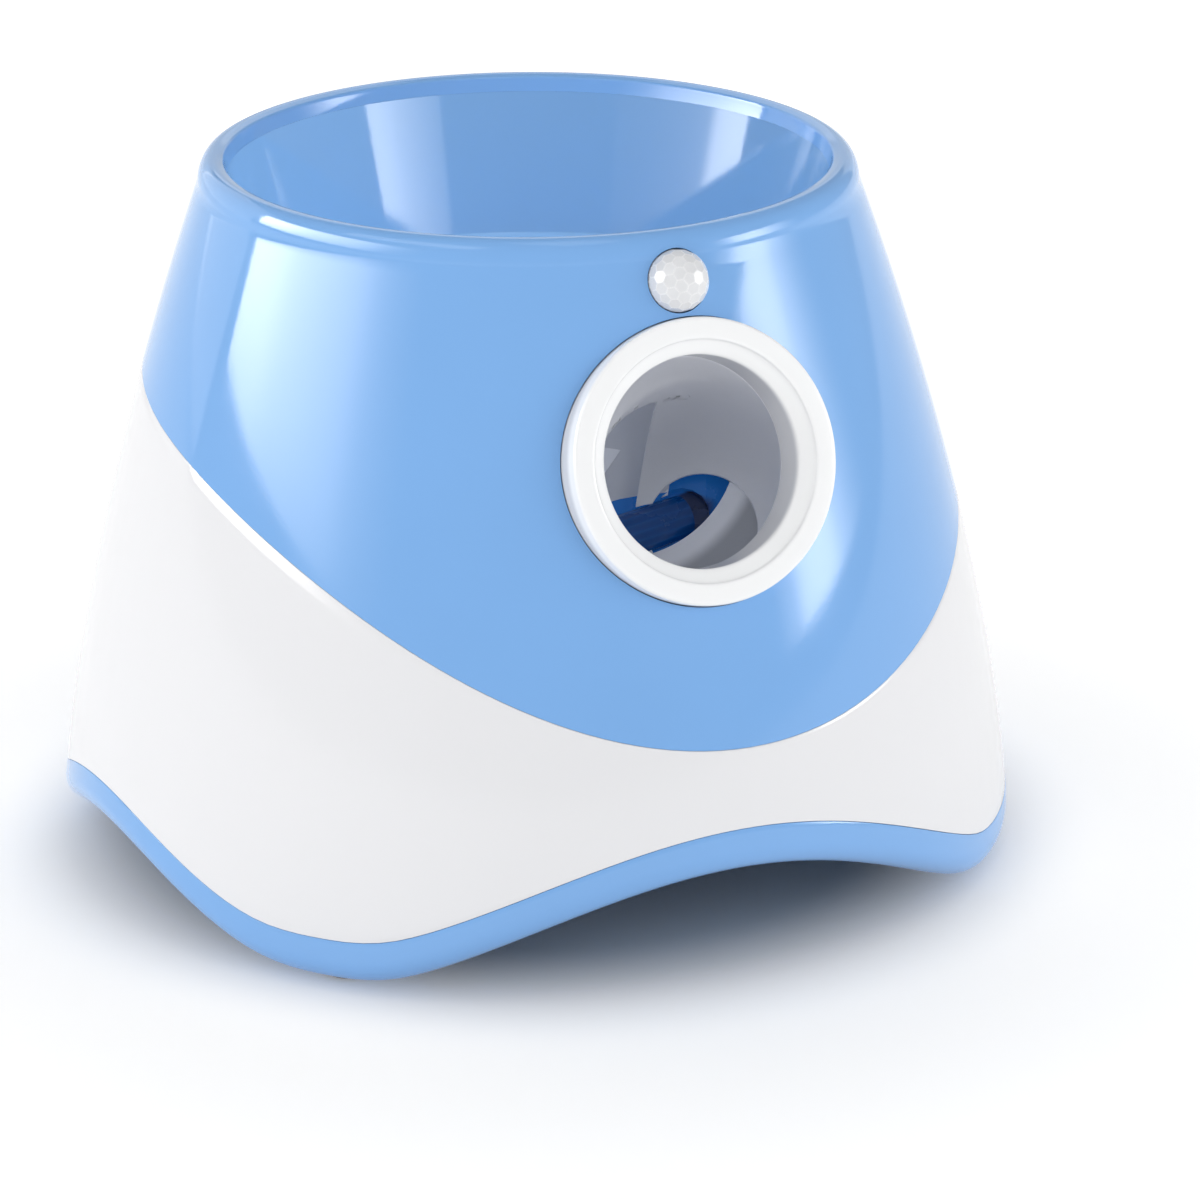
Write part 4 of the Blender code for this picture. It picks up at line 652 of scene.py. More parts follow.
# The chute's plastic, with a painted glow that lights its inside as if light reached it
chute_white = satin_plastic("chute_white", (0.70, 0.71, 0.74), 0.40, depth=0.97, grain=900.0)
chute_white = chute_white.glow((0.86, 0.9, 1.0, 1.0), 0.12).material
royal = satin_plastic("royal_blue", (0.006, 0.13, 0.50), 0.26, depth=0.9).material
nylon = satin_plastic("natural_nylon", (0.76, 0.74, 0.68)).material
steel = drawn_steel().material
rubber = dusty_rubber().material
board = green_board().material
jacket = satin_plastic("cell_jacket", (0.05, 0.06, 0.08), 0.3).material
dark = satin_plastic("dark_plastic", (0.035, 0.038, 0.042)).material
dome_lens = faceted_lens().material
lamp_lens = gloss_plastic("lamp_lens", (0.86, 0.87, 0.885), 0.12, depth=0.97).material

SLOT_FINISHES = {
    "sky_plastic": sky,
    "white_plastic": white,
    "lens_plastic": lamp_lens,
    "royal_plastic": royal,
    "natural_nylon": nylon,
    "steel": steel,
    "rubber": rubber,
    "circuit_board": board,
    "cell_jacket": jacket,
    "dark_plastic": dark,
}


def dress_solids():
    for row in frame["record"]["subparts"]:
        node = frame["nodes"][row["node"]]
        node.data.materials.clear()
        node.data.materials.append(SLOT_FINISHES[row["material_slot"]])
    frame["nodes"]["feed_chute"].data.materials[0] = chute_white
    start, end = (launch_to_world() @ end_frame() @ point for point in bar_points())
    frame["nodes"]["kicker_arm"].data.materials[0] = kicker_plastic(start, (end - start).normalized()).material


# Form of the housing, as in the solids


def mix(first, second, share):
    return first + (second - first) * share


def ease(share):
    share = min(max(share, 0.0), 1.0)
    return share * share * (3 - 2 * share)


def body_radius(z):
    return BASE_RADIUS - DRAW_IN * (max(z, 0.0) / BODY_HEIGHT) ** DRAW_IN_POWER


def body_slope(z):
    rate = DRAW_IN / BODY_HEIGHT * DRAW_IN_POWER * (z / BODY_HEIGHT) ** (DRAW_IN_POWER - 1)
    return math.atan(rate)


def ring_point(angle, radius, z):
    lean = LEAN_BACK * (z / BODY_HEIGHT) ** 2
    return Vector((radius * math.sin(angle), lean - radius * math.cos(angle), z))


def body_point(angle, z, inset=0.0):
    return ring_point(angle, body_radius(z) - inset, z)


def wall_frame(angle, z, pitch=None):
    """A frame on the wall: local Z out of it, local X to its right as seen from outside."""
    out = direction(angle, body_slope(z) if pitch is None else pitch)
    right = Vector((math.cos(angle), math.sin(angle), 0))
    return axes(right, out.cross(right), out, body_point(angle, z))


def swoop(angle):
    waves = sum(share * math.cos(k * angle) for k, share in enumerate(SWOOP_WAVE_SHARES, 1))
    lean = sum(share * math.sin(k * angle) for k, share in enumerate(SWOOP_LEAN_SHARES, 1))
    return BODY_HEIGHT * (SWOOP_SHARE - waves + lean)


def base_edge(angle):
    away = abs((angle + math.pi) % math.tau - math.pi)
    away = min(away, math.pi - away)
    if away < FOOT_START:
        wave = (1 + math.cos(math.pi * away / FOOT_START)) / 2
        return FOOT_LIFT + ARCH_FRONT * wave**ARCH_FRONT_SHARE
    if away < FOOT_END:
        return FOOT_LIFT
    to_side = math.pi / 2 - FOOT_END
    wave = (1 + math.cos(math.pi * (math.pi / 2 - away) / to_side)) / 2
    return FOOT_LIFT + ARCH_SIDE * wave**ARCH_SIDE_SHARE


def soft_base_edge(angle):
    """The edge with its short straight feet eased into the arches."""
    spread = math.radians(3.0)
    shares = (0.06, 0.24, 0.40, 0.24, 0.06)
    return sum(share * base_edge(angle + spread * (k - 2)) for k, share in enumerate(shares))


def band_top(angle):
    return soft_base_edge(angle) + BAND_HEIGHT


def underside(angle, radius_share):
    start = 1 - BAND_ROLL / BASE_RADIUS
    inward = (start - radius_share) / (start - UNDERSIDE_SHARE)
    return mix(soft_base_edge(angle), UNDERSIDE_HEIGHT, ease(inward))


def hopper_radius(z):
    """The hopper's inner wall: a straight cone from the rim's inner edge."""
    return RIM_INNER_RADIUS - HOPPER_TAPER * (BODY_HEIGHT - RIM_INNER_DROP - z)


MIDDLE = (0, 0, BODY_HEIGHT / 2)


def up(height):
    return Vector((0, 0, height))


# Housing pieces


def make_upper_shell():
    wall_rings = 34
    bend_rings = 12
    crown_rings = 3
    nose_rings = 4
    top = BODY_HEIGHT - RIM_START
    crest = body_radius(top) - RIM_CREST_IN
    edge = BODY_HEIGHT - RIM_INNER_DROP

    def place(angle, ring):
        if ring < wall_rings:
            return body_point(angle, mix(swoop(angle) + HAIRLINE, top, ring / (wall_rings - 1)))
        ring -= wall_rings - 1
        if ring <= bend_rings:
            turn = math.pi / 2 * ring / bend_rings
            radius = body_radius(top) - RIM_CREST_IN * (1 - math.cos(turn))
            return ring_point(angle, radius, top + RIM_START * math.sin(turn))
        ring -= bend_rings
        if ring <= crown_rings:
            share = ring / crown_rings
            radius = mix(crest, RIM_INNER_RADIUS + RIM_NOSE, share)
            return ring_point(angle, radius, BODY_HEIGHT - (RIM_INNER_DROP - RIM_NOSE / 2) * share**2)
        ring -= crown_rings
        if ring <= nose_rings:
            turn = math.pi / 2 * ring / nose_rings
            radius = RIM_INNER_RADIUS + RIM_NOSE * (1 - math.sin(turn))
            return ring_point(angle, radius, edge + RIM_NOSE * (math.cos(turn) - 0.5))
        return ring_point(angle, hopper_radius(edge - RIM_LIP), edge - RIM_LIP)

    rings = wall_rings + bend_rings + crown_rings + nose_rings + 1
    shell = shaped(sleeve("upper_housing", SIDES, rings), place, MIDDLE)
    thicken(shell, WALL)
    muzzle = wall_frame(0, MUZZLE_HEIGHT, MUZZLE_PITCH)
    sensor = wall_frame(0, SENSOR_HEIGHT)
    cut(
        shell,
        bar("muzzle_cut", RING_RADIUS + SEAM, muzzle @ up(-2 * RING_DEPTH), muzzle @ up(OVERRUN), 128),
        bar("sensor_cut", DOME_RADIUS + SEAM, sensor @ up(-DOME_ROOM), sensor @ up(OVERRUN)),
    )
    return finished(smooth(shell), sky, "housing", "upper_shell", slot="sky_plastic")


def make_side_shell():
    rings = 26

    def place(angle, ring):
        return body_point(angle, mix(band_top(angle) + HAIRLINE, swoop(angle), ring / (rings - 1)))

    shell = shaped(sleeve("side_housing", SIDES, rings), place, MIDDLE)
    thicken(shell, WALL)
    soften(shell, EDGE)
    jack = wall_frame(math.pi, JACK_HEIGHT)
    window = panel_patch("panel_window", OVERRUN, WALL + OVERRUN, 0)
    cut(shell, window, through(jack, JACK_RADIUS + SEAM, 64))
    return finished(smooth(shell), white, "housing", "side_shell", slot="white_plastic")


def make_base():
    wall_rings = 3
    roll_rings = 10
    under_rings = 14
    centre_rings = 6
    share_start = 1 - BAND_ROLL / BASE_RADIUS

    def place(angle, ring):
        low = soft_base_edge(angle)
        if ring <= wall_rings:
            return body_point(angle, mix(band_top(angle), low + BAND_ROLL, ring / wall_rings))
        ring -= wall_rings
        if ring <= roll_rings:
            turn = math.pi / 2 * ring / roll_rings
            return body_point(angle, low + BAND_ROLL * (1 - math.sin(turn)), BAND_ROLL * (1 - math.cos(turn)))
        ring -= roll_rings
        share = mix(share_start, UNDERSIDE_SHARE, min(ring / under_rings, 1.0))
        if ring > under_rings:
            share = UNDERSIDE_SHARE * (1 - (ring - under_rings) / centre_rings)
        z = underside(angle, share)
        return ring_point(angle, body_radius(z) * share, z)

    rings = wall_rings + roll_rings + under_rings + centre_rings + 1
    base = shaped(sleeve("base_housing", SIDES, rings), place, MIDDLE)
    with Editing(base):
        bpy.ops.mesh.remove_doubles(threshold=WELD)
    thicken(base, WALL)
    soften(base, EDGE)
    for angle in FOOT_ANGLES:
        seat = ring_point(angle, PAD_RING, 0)
        boss = bar("boss", PAD_RADIUS + BOSS_RIM, seat + up(FOOT_LIFT), seat + up(BOSS_TOP))
        join(base, soften(boss, BOSS_EDGE))
        cut(base, bar("pocket", PAD_RADIUS + SEAM, seat - up(OVERRUN), seat + up(FOOT_LIFT + PAD_SINK)))
        turned = angle + SCREW_TURN
        spot = ring_point(turned, SCREW_RING, 0)
        head = underside(turned, SCREW_RING / BASE_RADIUS) + WALL
        join(base, bar("screw_boss", SCREW_BOSS_RADIUS, spot + up(head - WALL / 2), spot + up(head + SCREW_BOSS)))
        cut(base, bar("recess", SCREW_RECESS, spot + up(head - 4 * WALL), spot + up(head)))
    door_low, door_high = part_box("battery_door")
    size = (door_high - door_low) + Vector((2 * DOOR_GAP, 2 * DOOR_GAP, DOOR_WINDOW_DEPTH))
    cut(base, block("door_window", size, Matrix.Translation((door_low + door_high) / 2)))
    return finished(smooth(base), sky, "housing", "base_tray", slot="sky_plastic")


def make_hopper():
    centre = launch_to_world() @ chute_point(CHUTE_RUN)
    top = BODY_HEIGHT - RIM_INNER_DROP - RIM_LIP - HAIRLINE / 4
    wall_rings = 10
    bend_rings = 44
    collar_rings = 3

    def wall(angle, z):
        return ring_point(angle, hopper_radius(z), z)

    def corner(angle):
        return HOPPER_CORNER_HEIGHT + HOPPER_CORNER_TIP * math.cos(angle - HOPPER_TIP_ANGLE)

    def throat(angle, z):
        return Vector((centre.x, centre.y, z)) + ring_point(angle, THROAT_RADIUS, 0)

    def place(angle, ring):
        bend = corner(angle) + HOPPER_BEND
        if ring <= wall_rings:
            return wall(angle, mix(top, bend, ring / wall_rings))
        ring -= wall_rings
        if ring <= bend_rings:
            share = (ring / bend_rings) ** HOPPER_BEND_GATHER
            middle = wall(angle, corner(angle))
            end = throat(angle, THROAT_HEIGHT)
            return wall(angle, bend).lerp(middle, share).lerp(middle.lerp(end, share), share)
        return throat(angle, THROAT_HEIGHT - THROAT_COLLAR * (ring - bend_rings) / collar_rings)

    rings = wall_rings + bend_rings + collar_rings + 1
    bowl = shaped(sleeve("hopper_inside", SIDES, rings), place, (centre.x, centre.y, BODY_HEIGHT))
    thicken(bowl, HOPPER_WALL, outwards=True)
    return finished(smooth(bowl, 40.0), bowl_sky, "housing", "hopper_bowl", slot="sky_plastic")


def make_foot_pads():
    top = FOOT_LIFT + PAD_SINK - SEAM
    outline = [(0, top), (PAD_RADIUS, top), (PAD_RADIUS, FOOT_LIFT / 3), (PAD_RADIUS - FOOT_LIFT / 3, 0), (0, 0)]
    outline = rounded(outline, FINE_EDGE)
    for number, angle in enumerate(FOOT_ANGLES, 1):
        spot = Matrix.Translation(ring_point(angle, PAD_RING, 0))
        pad = spun(f"rubber_pad_{number}", outline, spot, 48, closed=False)
        finished(smooth(pad), rubber, "housing", f"foot_pad_{number}", slot="rubber")


# Muzzle and cup


def make_muzzle_ring():
    """A rounded outer edge, a flat face, a rounded lip, a soft funnel and the bore; hollow behind."""
    quarter = [math.pi / 2 * k / 6 for k in range(7)]
    flat = RING_PROUD - RING_FACE_DROP
    lip = flat - RING_LIP
    hollow = RING_PROUD - 2 * RING_WALL
    outline = [(RING_RADIUS, -RING_DEPTH)]
    for turn in quarter:
        radius = RING_RADIUS - RING_ROUNDING * (1 - math.cos(turn))
        outline.append((radius, RING_PROUD - RING_EDGE + RING_EDGE_RISE * math.sin(turn)))
    outline += [(radius, RING_PROUD - drop) for radius, drop in RING_FACE]
    for turn in quarter:
        radius = FUNNEL_RADIUS + RING_ROUNDING * (1 - math.sin(turn))
        outline.append((radius, flat - RING_LIP * (1 - math.cos(turn))))
    for k in range(1, 10):
        radius = mix(FUNNEL_RADIUS, BORE_RADIUS, ease(k / 9 * 0.96 + 0.02))
        outline.append((radius, mix(lip, -FUNNEL_END, k / 9)))
    outline += [(BORE_RADIUS, -BORE_START), (BORE_RADIUS, -RING_DEPTH)]
    outline += [(BORE_RADIUS + RING_WALL, -RING_DEPTH), (BORE_RADIUS + RING_WALL, hollow)]
    outline += [(RING_RADIUS - RING_WALL, hollow), (RING_RADIUS - RING_WALL, -RING_DEPTH)]
    frame_here = wall_frame(0, MUZZLE_HEIGHT, MUZZLE_PITCH)
    ring = spun("muzzle", outline, frame_here, 144)
    material = muzzle_plastic(frame_here).material
    return finished(smooth(ring, 50.0), material, "housing", "muzzle_ring", slot="white_plastic")


def launch_to_world():
    """The launch frame: origin on the floor under the muzzle, local Y inwards along the cup."""
    foot = body_point(0, MUZZLE_HEIGHT)
    return Matrix.Translation((foot.x, foot.y, 0)) @ Matrix.Rotation(-LAUNCH_YAW, 4, "Z")


CUP_AXIS = Vector((0, math.cos(LAUNCH_PITCH), -math.sin(LAUNCH_PITCH)))
CUP_UP = Vector((0, math.sin(LAUNCH_PITCH), math.cos(LAUNCH_PITCH)))


def cup_point(distance):
    return up(MUZZLE_HEIGHT) + CUP_AXIS * distance


def chute_point(distance):
    out = Vector((-math.cos(CHUTE_PITCH), 0, math.sin(CHUTE_PITCH)))
    return cup_point(BALL_SEAT) + out * distance


def chute_rod(name, radius, start, end):
    return bar(name, radius, chute_point(start), chute_point(end), ROD_SIDES)


def end_frame():
    """A frame at the cup's end: local X along its axis, local Y to the left, local Z up."""
    return axes(CUP_AXIS, Vector((-1, 0, 0)), CUP_UP, cup_point(CUP_LENGTH))


def end_rod(name, radius, start, end, left=0, high=0, sides=ROD_SIDES):
    """A bar along the cup's axis, placed from the cup's end."""
    spot = end_frame()
    return bar(name, radius, spot @ Vector((start, left, high)), spot @ Vector((end, left, high)), sides)


def bar_points():
    """The two ends of the kicker's striking bar, in the frame at the cup's end."""
    start = Vector(BAR_PLACE)
    sideways = math.cos(BAR_LIFT)
    way = Vector((-math.sin(BAR_LIFT), sideways * math.cos(BAR_TURN), -sideways * math.sin(BAR_TURN)))
    return start, start + way * BAR_LENGTH


def bar_notch():
    """What the striking bar needs cut away: its own round and the room behind it."""
    start, end = bar_points()
    spot = end_frame()
    radius = BAR_RADIUS + NOTCH_CLEARANCE
    way = (end - start).normalized()
    side = way.cross(Vector((1, 0, 0))).normalized()
    back = way.cross(side)
    if back.x < 0:
        back, side = -back, -side
    turned = axes(side, back, side.cross(back), (start + end) / 2)
    place = spot @ turned @ Matrix.Translation((0, BAR_LENGTH / 2, 0))
    room = block("bar_room", (2 * radius, BAR_LENGTH, BAR_LENGTH), place)
    return bar("bar_notch", radius, spot @ start, spot @ end), room


def make_guard():
    """The dished crescent behind the right of the aperture."""
    rim = APERTURE_RADIUS + GUARD_RIM
    end = GUARD_DEPTH + OVERRUN
    low = end_rod("guard_collar", rim, CUP_WALL / 2, GUARD_DEPTH)
    cut(low, end_rod("guard_bore", rim - GUARD_WALL, -OVERRUN, end))
    near = GUARD_EDGE_RADIUS - GUARD_WALL
    far = GUARD_RIDGE_RADIUS + 2 * rim
    outline = [(far, -GUARD_DEPTH + GUARD_WALL + SEAM), (far, -GUARD_DEPTH + SEAM)]
    outline += [(GUARD_RIDGE_RADIUS, -GUARD_RIDGE_DEPTH - GUARD_WALL), (near, -GUARD_EDGE_DEPTH - GUARD_WALL / 2)]
    outline += [(near, -GUARD_EDGE_DEPTH)]
    for k in range(9):
        share = k / 8
        first = mix(-GUARD_EDGE_DEPTH, -GUARD_RIDGE_DEPTH, share)
        second = mix(-GUARD_RIDGE_DEPTH, -GUARD_DEPTH + GUARD_WALL + SEAM, share / 4)
        radius = mix(GUARD_EDGE_RADIUS, GUARD_RIDGE_RADIUS + GUARD_BEYOND, share)
        outline.append((radius, mix(first, second, share)))
    centre = end_frame() @ Vector((0, GUARD_LEFT, GUARD_UP))
    dish = spun("guard_dish", outline, along(centre, centre - CUP_AXIS), DISH_SIDES)
    combined(dish, "INTERSECT", [end_rod("guard_outline", rim - GUARD_WALL / 2, -OVERRUN, end)])
    edge = end_rod("guard_edge", GUARD_EDGE_RADIUS, -OVERRUN, end, GUARD_LEFT, GUARD_UP, DISH_SIDES)
    return cut(join(low, dish), edge)


def make_launch_cup():
    """The tube from the muzzle ring down to its aperture, with the guard, the feed port and the port's collar."""
    world = launch_to_world()
    ring = world.inverted() @ wall_frame(0, MUZZLE_HEIGHT, MUZZLE_PITCH)
    ring_in = -(ring.to_3x3() @ Vector((0, 0, 1))).normalized()
    side = (ring.to_3x3() @ Vector((1, 0, 0))).normalized()
    mouth = ring @ up(-RING_DEPTH - SEAM)
    joined = cup_point(RING_DEPTH + CUP_BEND)
    bend_rings = 12
    straight_rings = 4
    end_rings = 24

    def circle(angle, centre, axis, radius):
        across = (side - axis * side.dot(axis)).normalized()
        return centre + (across * math.sin(angle) - across.cross(axis) * math.cos(angle)) * radius

    def place(angle, ring_number):
        if ring_number <= bend_rings:
            share = ring_number / bend_rings
            start = mouth.lerp(mouth + ring_in * (CUP_BEND / 2), share)
            end = (joined - CUP_AXIS * (CUP_BEND / 2)).lerp(joined, share)
            axis = ring_in.lerp(CUP_AXIS, ease(share)).normalized()
            return circle(angle, start.lerp(end, share), axis, mix(BORE_RADIUS, CUP_BODY_RADIUS, ease(share)))
        ring_number -= bend_rings
        if ring_number <= straight_rings:
            share = ring_number / straight_rings
            return circle(angle, joined.lerp(cup_point(CUP_STRAIGHT), share), CUP_AXIS, CUP_BODY_RADIUS)
        turn = math.pi / 2 * (ring_number - straight_rings) / end_rings
        distance = mix(CUP_STRAIGHT, CUP_LENGTH, math.sin(turn))
        return circle(angle, cup_point(distance), CUP_AXIS, mix(APERTURE_RADIUS, CUP_BODY_RADIUS, math.cos(turn)))

    rings = bend_rings + straight_rings + end_rings + 1

    def skin(name):
        return shaped(sleeve(name, CUP_SIDES, rings), place, cup_point(CUP_STRAIGHT))

    cup = thicken(skin("launch_tube"), CUP_WALL, outwards=True)
    soften(cup, FINE_EDGE)
    join(cup, make_guard())
    lumen = skin("lumen")
    with Editing(lumen):
        bpy.ops.mesh.fill_holes(sides=0)
    collar = chute_rod("port_collar", CHUTE_RADIUS + COLLAR_WALL, COLLAR_START, COLLAR_END)
    cut(collar, chute_rod("collar_bore", CHUTE_RADIUS + COLLAR_GAP, COLLAR_BORE_START, COLLAR_BORE_END), lumen)
    join(cup, collar)
    port = chute_rod("port", CHUTE_RADIUS, CHUTE_START, CHUTE_RUN)
    ring_room = bar("ring_room", RING_RADIUS + SEAM, mouth, ring @ up(OVERRUN), ROD_SIDES)
    cut(cup, port, ring_room, *bar_notch())
    cup.data.transform(world)
    plastic = tube_plastic(world, end_frame()).material
    return finished(smooth(cup, 40.0), plastic, "housing", "launch_cup", slot="white_plastic")


# Rear panel, buttons, lamps and inlet


def panel_patch(name, proud, sink, margin):
    """A patch of the housing's own surface, from proud outside the wall to sink inside it."""
    half = PANEL_HALF_ANGLE - margin / BASE_RADIUS
    deselect()
    bpy.ops.mesh.primitive_grid_add(x_subdivisions=28, y_subdivisions=12, size=2.0)
    patch = bpy.context.object
    patch.name = name
    for point in patch.data.vertices:
        z = mix(PANEL_LOW + margin, PANEL_HIGH - margin, (point.co.y + 1) / 2)
        point.co = body_point(math.pi + half * point.co.x, z, -proud)
    faced_away(patch, MIDDLE)
    return thicken(patch, proud + sink)


def through(spot, radius, sides=48):
    """A bar that cuts a hole through the wall at spot."""
    return bar("hole", radius, spot @ up(-HOLE_START), spot @ up(HOLE_END), sides)


def lens_frame(number):
    return wall_frame(math.pi + (number - 1) * LENS_ANGLE_STEP, LENS_HEIGHT)


def make_panel():
    panel = panel_patch("rear_panel", PANEL_PROUD, WALL, SEAM)
    soften(panel, 0.0006, 3)
    for side, key in ((-1, "power"), (1, "range")):
        spot = wall_frame(math.pi + side * BUTTON_ANGLE, BUTTON_HEIGHT)
        cut(panel, through(spot, BUTTON_RADIUS + BUTTON_GAP))
        outline = [(radius, PANEL_PROUD + BUTTON_PROUD - drop) for radius, drop in BUTTON_PROFILE]
        outline += [(BUTTON_RADIUS, -BUTTON_DEPTH), (0, -BUTTON_DEPTH)]
        button = spun(f"{key}_key_cap", rounded(outline, 0.0008), spot, 64, closed=False)
        finished(smooth(button), sky, f"{key}_key", f"{key}_button", slot="sky_plastic")
    for number in range(3):
        spot = lens_frame(number)
        cut(panel, through(spot, LENS_RADIUS + SEAM))
        high = PANEL_PROUD + LENS_PROUD
        outline = [(0, high), (LENS_RADIUS, high), (LENS_RADIUS, high - LENS_LENGTH), (0, high - LENS_LENGTH)]
        lamp = spun(f"lamp_{number + 1}", rounded(outline, 0.0006), spot, 32, closed=False)
        finished(smooth(lamp), lamp_lens, "housing", f"range_lens_{number + 1}", slot="lens_plastic")
    return finished(smooth(panel), ring_white, "housing", "control_panel", slot="white_plastic")


def make_inlet():
    outline = [
        (JACK_BORE_RADIUS, JACK_LIP + SEAM),
        (JACK_LIP_RADIUS, JACK_LIP + SEAM),
        (JACK_LIP_RADIUS, SEAM),
        (JACK_RADIUS, SEAM),
        (JACK_RADIUS, -JACK_LENGTH),
        (0, -JACK_LENGTH),
    ]
    pin = [
        (0, -JACK_LIP),
        (JACK_PIN_RADIUS, -JACK_LIP - JACK_PIN_RADIUS / 2),
        (JACK_PIN_RADIUS, -JACK_BORE),
        (JACK_BORE_RADIUS, -JACK_BORE),
        (JACK_BORE_RADIUS, JACK_LIP),
    ]
    outline = rounded(outline, 0.0005) + rounded(pin, FINE_EDGE)
    inlet = spun("inlet", outline, wall_frame(math.pi, JACK_HEIGHT), 64)
    return finished(smooth(inlet, 40.0), dark, "housing", "power_inlet", slot="dark_plastic")


# Motion sensor


def facet_centres():
    """Directions of the lens's facets: the corners of a divided icosahedron."""
    deselect()
    bpy.ops.mesh.primitive_ico_sphere_add(subdivisions=1, radius=1.0)
    pattern = bpy.context.object
    with Editing(pattern):
        bpy.ops.mesh.subdivide(number_cuts=2)
    centres = [point.co.normalized() for point in pattern.data.vertices]
    bpy.data.objects.remove(pattern)
    return centres


def make_sensor_lens():
    """A dome cut into flat hexagons, with the distance to their borders kept for its finish."""
    centres = facet_centres()
    deselect()
    bpy.ops.mesh.primitive_ico_sphere_add(subdivisions=6, radius=1.0)
    dome = bpy.context.object
    dome.name = "sensor_dome"
    with Editing(dome):
        bpy.ops.mesh.bisect(plane_co=(0, 0, 0), plane_no=(0, 0, 1), clear_inner=True)
    line = dome.data.attributes.new("facet_line", "FLOAT", "POINT")
    for index, point in enumerate(dome.data.vertices):
        way = point.co.normalized()
        near = sorted((way.dot(centre) for centre in centres), reverse=True)[:2]
        line.data[index].value = max(0.0, 1.0 - (near[0] - near[1]) / FACET_LINE)
        radius = mix(1.0, FACET_EDGE / near[0], FACET_SHARE)
        point.co = Vector((way.x * DOME_RADIUS, way.y * DOME_RADIUS, way.z * DOME_RISE)) * radius
    choose_edges(dome, lambda ends: all(abs(dome.data.vertices[end].co.z) < WELD for end in ends))
    bpy.ops.object.mode_set(mode="EDIT")
    bpy.ops.mesh.extrude_edges_move(TRANSFORM_OT_translate={"value": (0, 0, -DOME_SKIRT)})
    bpy.ops.object.mode_set(mode="OBJECT")
    faced_away(dome, (0, 0, 0))
    thicken(dome, DOME_WALL)
    dome.data.transform(wall_frame(0, SENSOR_HEIGHT))
    return finished(smooth(dome, 60.0), dome_lens, "housing", "sensor_lens", slot="lens_plastic")


# Camera and stage: aim heights in metres, the photo's width in pixels
FILM_WIDTH = 36.0
PHOTO_WIDTH = 1200
CAMERA_AIM = 0.11
LIGHT_AIM = 0.12
LIGHT_DISTANCE = 1.6


def make_camera():
    """The photographed view: a long lens from the front left, a little above. Focal and offsets are in pixels."""
    elevation, azimuth, focal = math.radians(17.8844), math.radians(-24.7774), 5776.95
    aside, above, distance, roll = -65.209, -174.92, 1.4985, math.radians(-0.3247)
    back = direction(azimuth, elevation)
    right = (-back).cross(Vector((0, 0, 1))).normalized()
    high = right.cross(-back)
    ahead = (-back * focal - right * aside + high * above).normalized()
    right = ahead.cross(high).normalized()
    high = right.cross(ahead)
    turned_right = right * math.cos(roll) + high * math.sin(roll)
    turned_up = high * math.cos(roll) - right * math.sin(roll)
    data = bpy.data.cameras.new("photo_view")
    data.sensor_width = FILM_WIDTH
    data.lens = FILM_WIDTH * focal / PHOTO_WIDTH
    data.clip_start = 0.1
    data.clip_end = 50.0
    camera = bpy.data.objects.new("photo_view", data)
    bpy.context.scene.collection.objects.link(camera)
    camera.matrix_world = axes(turned_right, turned_up, -ahead, up(CAMERA_AIM) + back * distance)
    bpy.context.scene.camera = camera


def make_floor():
    """White paper with a soft glow that fades under the body to paint its contact shadow, and a warmer tint
    painted into that shadow.
    """
    deselect()
    bpy.ops.mesh.primitive_plane_add(size=16.0)
    floor = bpy.context.object
    floor.name = "floor"
    finish = Finish("floor_paper", roughness=0.9)
    away = finish.node("ShaderNodeVectorMath", {"operation": "LENGTH"}, {0: finish.place}, "Value")
    # painted contact shadow: the glow fades out near the body
    beside = finish.ramp(away, 0.085, 0.15)
    paper = finish.blend(finish.noise(3.0), (0.95, 0.945, 0.94, 1.0), (0.97, 0.965, 0.96, 1.0))
    # a warm tint painted where the body's shadow falls
    finish.colour(finish.blend(finish.ramp(away, 0.10, 0.14), (0.96, 0.84, 0.72, 1.0), paper))
    glow = finish.blend(beside, shade(BLACK), shade(PALE, 0.8))
    finish.glow(finish.blend(finish.ramp(away, 0.15, 0.26), glow, shade(PALE)), 0.6)
    finish.shader.inputs["Specular IOR Level"].default_value = 0.1
    floor.data.materials.append(finish.material)


def softbox(name, azimuths, heights, brightness, kind="both", lights_on=None, across=None, upward=None):
    """A light between two azimuths and two elevations; across and upward are its (place, share) curves.

    A shine is seen only in reflections, and a wash lights only matt colour.
    """
    azimuth = math.radians(sum(azimuths) / 2)
    elevation = math.radians(sum(heights) / 2)
    data = bpy.data.lights.new(name, "AREA")
    data.shape = "RECTANGLE"
    data.size = 2 * LIGHT_DISTANCE * math.tan(math.radians(azimuths[1] - azimuths[0]) / 2) * math.cos(elevation)
    data.size_y = 2 * LIGHT_DISTANCE * math.tan(math.radians(heights[1] - heights[0]) / 2)
    data.energy = brightness * math.pi * data.size * data.size_y
    light = bpy.data.objects.new(name, data)
    bpy.context.scene.collection.objects.link(light)
    out = direction(azimuth, elevation)
    right = Vector((math.cos(azimuth), math.sin(azimuth), 0))
    light.matrix_world = axes(right, out.cross(right), out, up(LIGHT_AIM) + out * LIGHT_DISTANCE)
    light.visible_glossy = kind != "wash"
    light.visible_diffuse = kind != "shine"
    light.light_linking.receiver_collection = lights_on
    if across or upward:
        shape_light(data, across, upward)


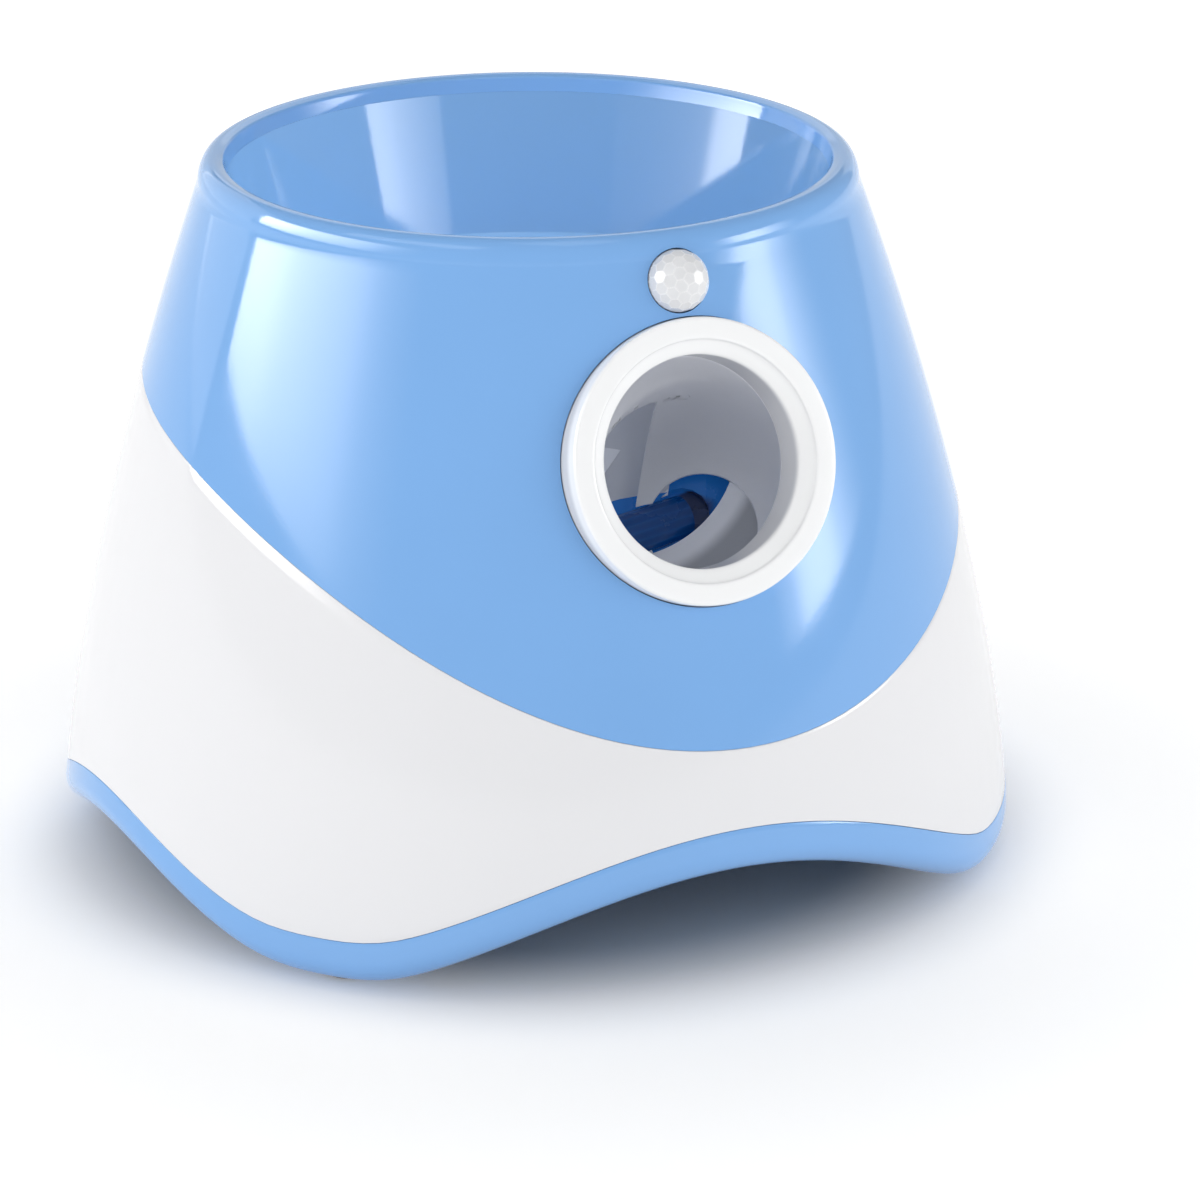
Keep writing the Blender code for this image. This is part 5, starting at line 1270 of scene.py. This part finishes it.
def shape_light(data, across, upward):
    """Varies a light over its width and height along smooth curves."""
    nodes = Nodes(data)
    spot = nodes.node("ShaderNodeNewGeometry", out="Parametric")
    shares = []
    for axis, curve in (("X", across), ("Y", upward)):
        if not curve:
            continue
        place = nodes.node("ShaderNodeSeparateXYZ", None, {0: spot}, axis)
        shares.append(nodes.node("ShaderNodeFloatCurve", None, {"Value": place}))
        mapping = shares[-1].socket.node.mapping
        points = mapping.curves[0].points
        while len(points) < len(curve):
            points.new(0.5, 0.5)
        for point, (along_light, share) in zip(points, curve):
            point.location = (along_light, share)
        mapping.update()
    strength = shares[0] * shares[1] if len(shares) == 2 else shares[0]
    nodes.feed(nodes.tree.nodes["Emission"].inputs["Strength"], strength)


# Shares along each light: from its left end as the object sees it, and from its lower edge up
KEY_ACROSS = ((0.0, 1.0), (0.2, 0.96), (0.35, 0.72), (0.5, 0.54), (0.67, 0.34), (0.83, 0.09), (1.0, 0.0))
HOPPER_KEY_ACROSS = ((0.0, 1.0), (0.24, 0.95), (0.36, 0.25), (0.6, 0.12), (1.0, 0.04))
SOFT_FALL = ((0.0, 0.0), (0.15, 0.3), (0.38, 1.0), (0.65, 0.45), (0.85, 0.1), (1.0, 0.0))
LONG_RISE = ((0.0, 0.2), (0.5, 0.6), (0.9, 1.0), (1.0, 1.0))
UPWARD = ((0.0, 0.35), (0.35, 0.72), (0.7, 0.84), (1.0, 0.7))


def group(name, pieces):
    """A set of pieces that a light shines on."""
    made = bpy.data.collections.new(name)
    for piece in pieces:
        made.objects.link(piece)
    return made


def make_lights():
    world = bpy.data.worlds.new("studio")
    bpy.context.scene.world = world
    world.use_nodes = True
    background = world.node_tree.nodes["Background"]
    background.inputs["Color"].default_value = (0.98, 0.99, 1.0, 1.0)
    background.inputs["Strength"].default_value = 0.42
    meshes = [obj for obj in bpy.context.scene.objects if obj.type == "MESH"]
    hopper = group("hopper_lit", [obj for obj in meshes if obj.name == "hopper_inside"])
    others = group("outside_lit", [obj for obj in meshes if obj.name not in ("hopper_inside", "floor")])
    softbox("left_shine", (-129, -62), (6, 32), 18.0, "shine", others, KEY_ACROSS, UPWARD)
    softbox("back_shine", (-178, -130), (0, 36), 0.9, "shine", others)
    softbox("left_wash", (-123, -62), (6, 34), 3.8, "wash", others)
    softbox("right_shine", (38, 78), (1, 17), 8.5, "shine", others, SOFT_FALL)
    softbox("right_wash", (0, 70), (5, 35), 2.6, "wash", others)
    softbox("rim_shine", (-105, -45), (44, 58), 1.6, "shine", others)
    softbox("far_shine", (125, 185), (0, 20), 0.5, "shine", others)
    softbox("hopper_shine", (-123, -62), (6, 34), 9.0, "shine", hopper, HOPPER_KEY_ACROSS)
    softbox("hopper_edge_shine", (12, 44), (14, 24), 8.0, "shine", hopper, LONG_RISE)
    softbox("hopper_left_wash", (20, 100), (35, 60), 5.2, "wash", hopper)
    softbox("hopper_right_wash", (-130, -60), (35, 60), 4.0, "wash", hopper)
    softbox("top_bank", (-20, 40), (62, 88), 1.0)
    softbox("back_bank", (140, 175), (20, 45), 1.0)


make_upper_shell()
make_side_shell()
make_base()
make_hopper()
make_foot_pads()
make_muzzle_ring()
make_launch_cup()
make_panel()
make_inlet()
make_sensor_lens()
dress_solids()
make_camera()
make_floor()
make_lights()
bpy.context.scene.view_settings.view_transform = "Standard"
bpy.context.scene.view_settings.look = "None"
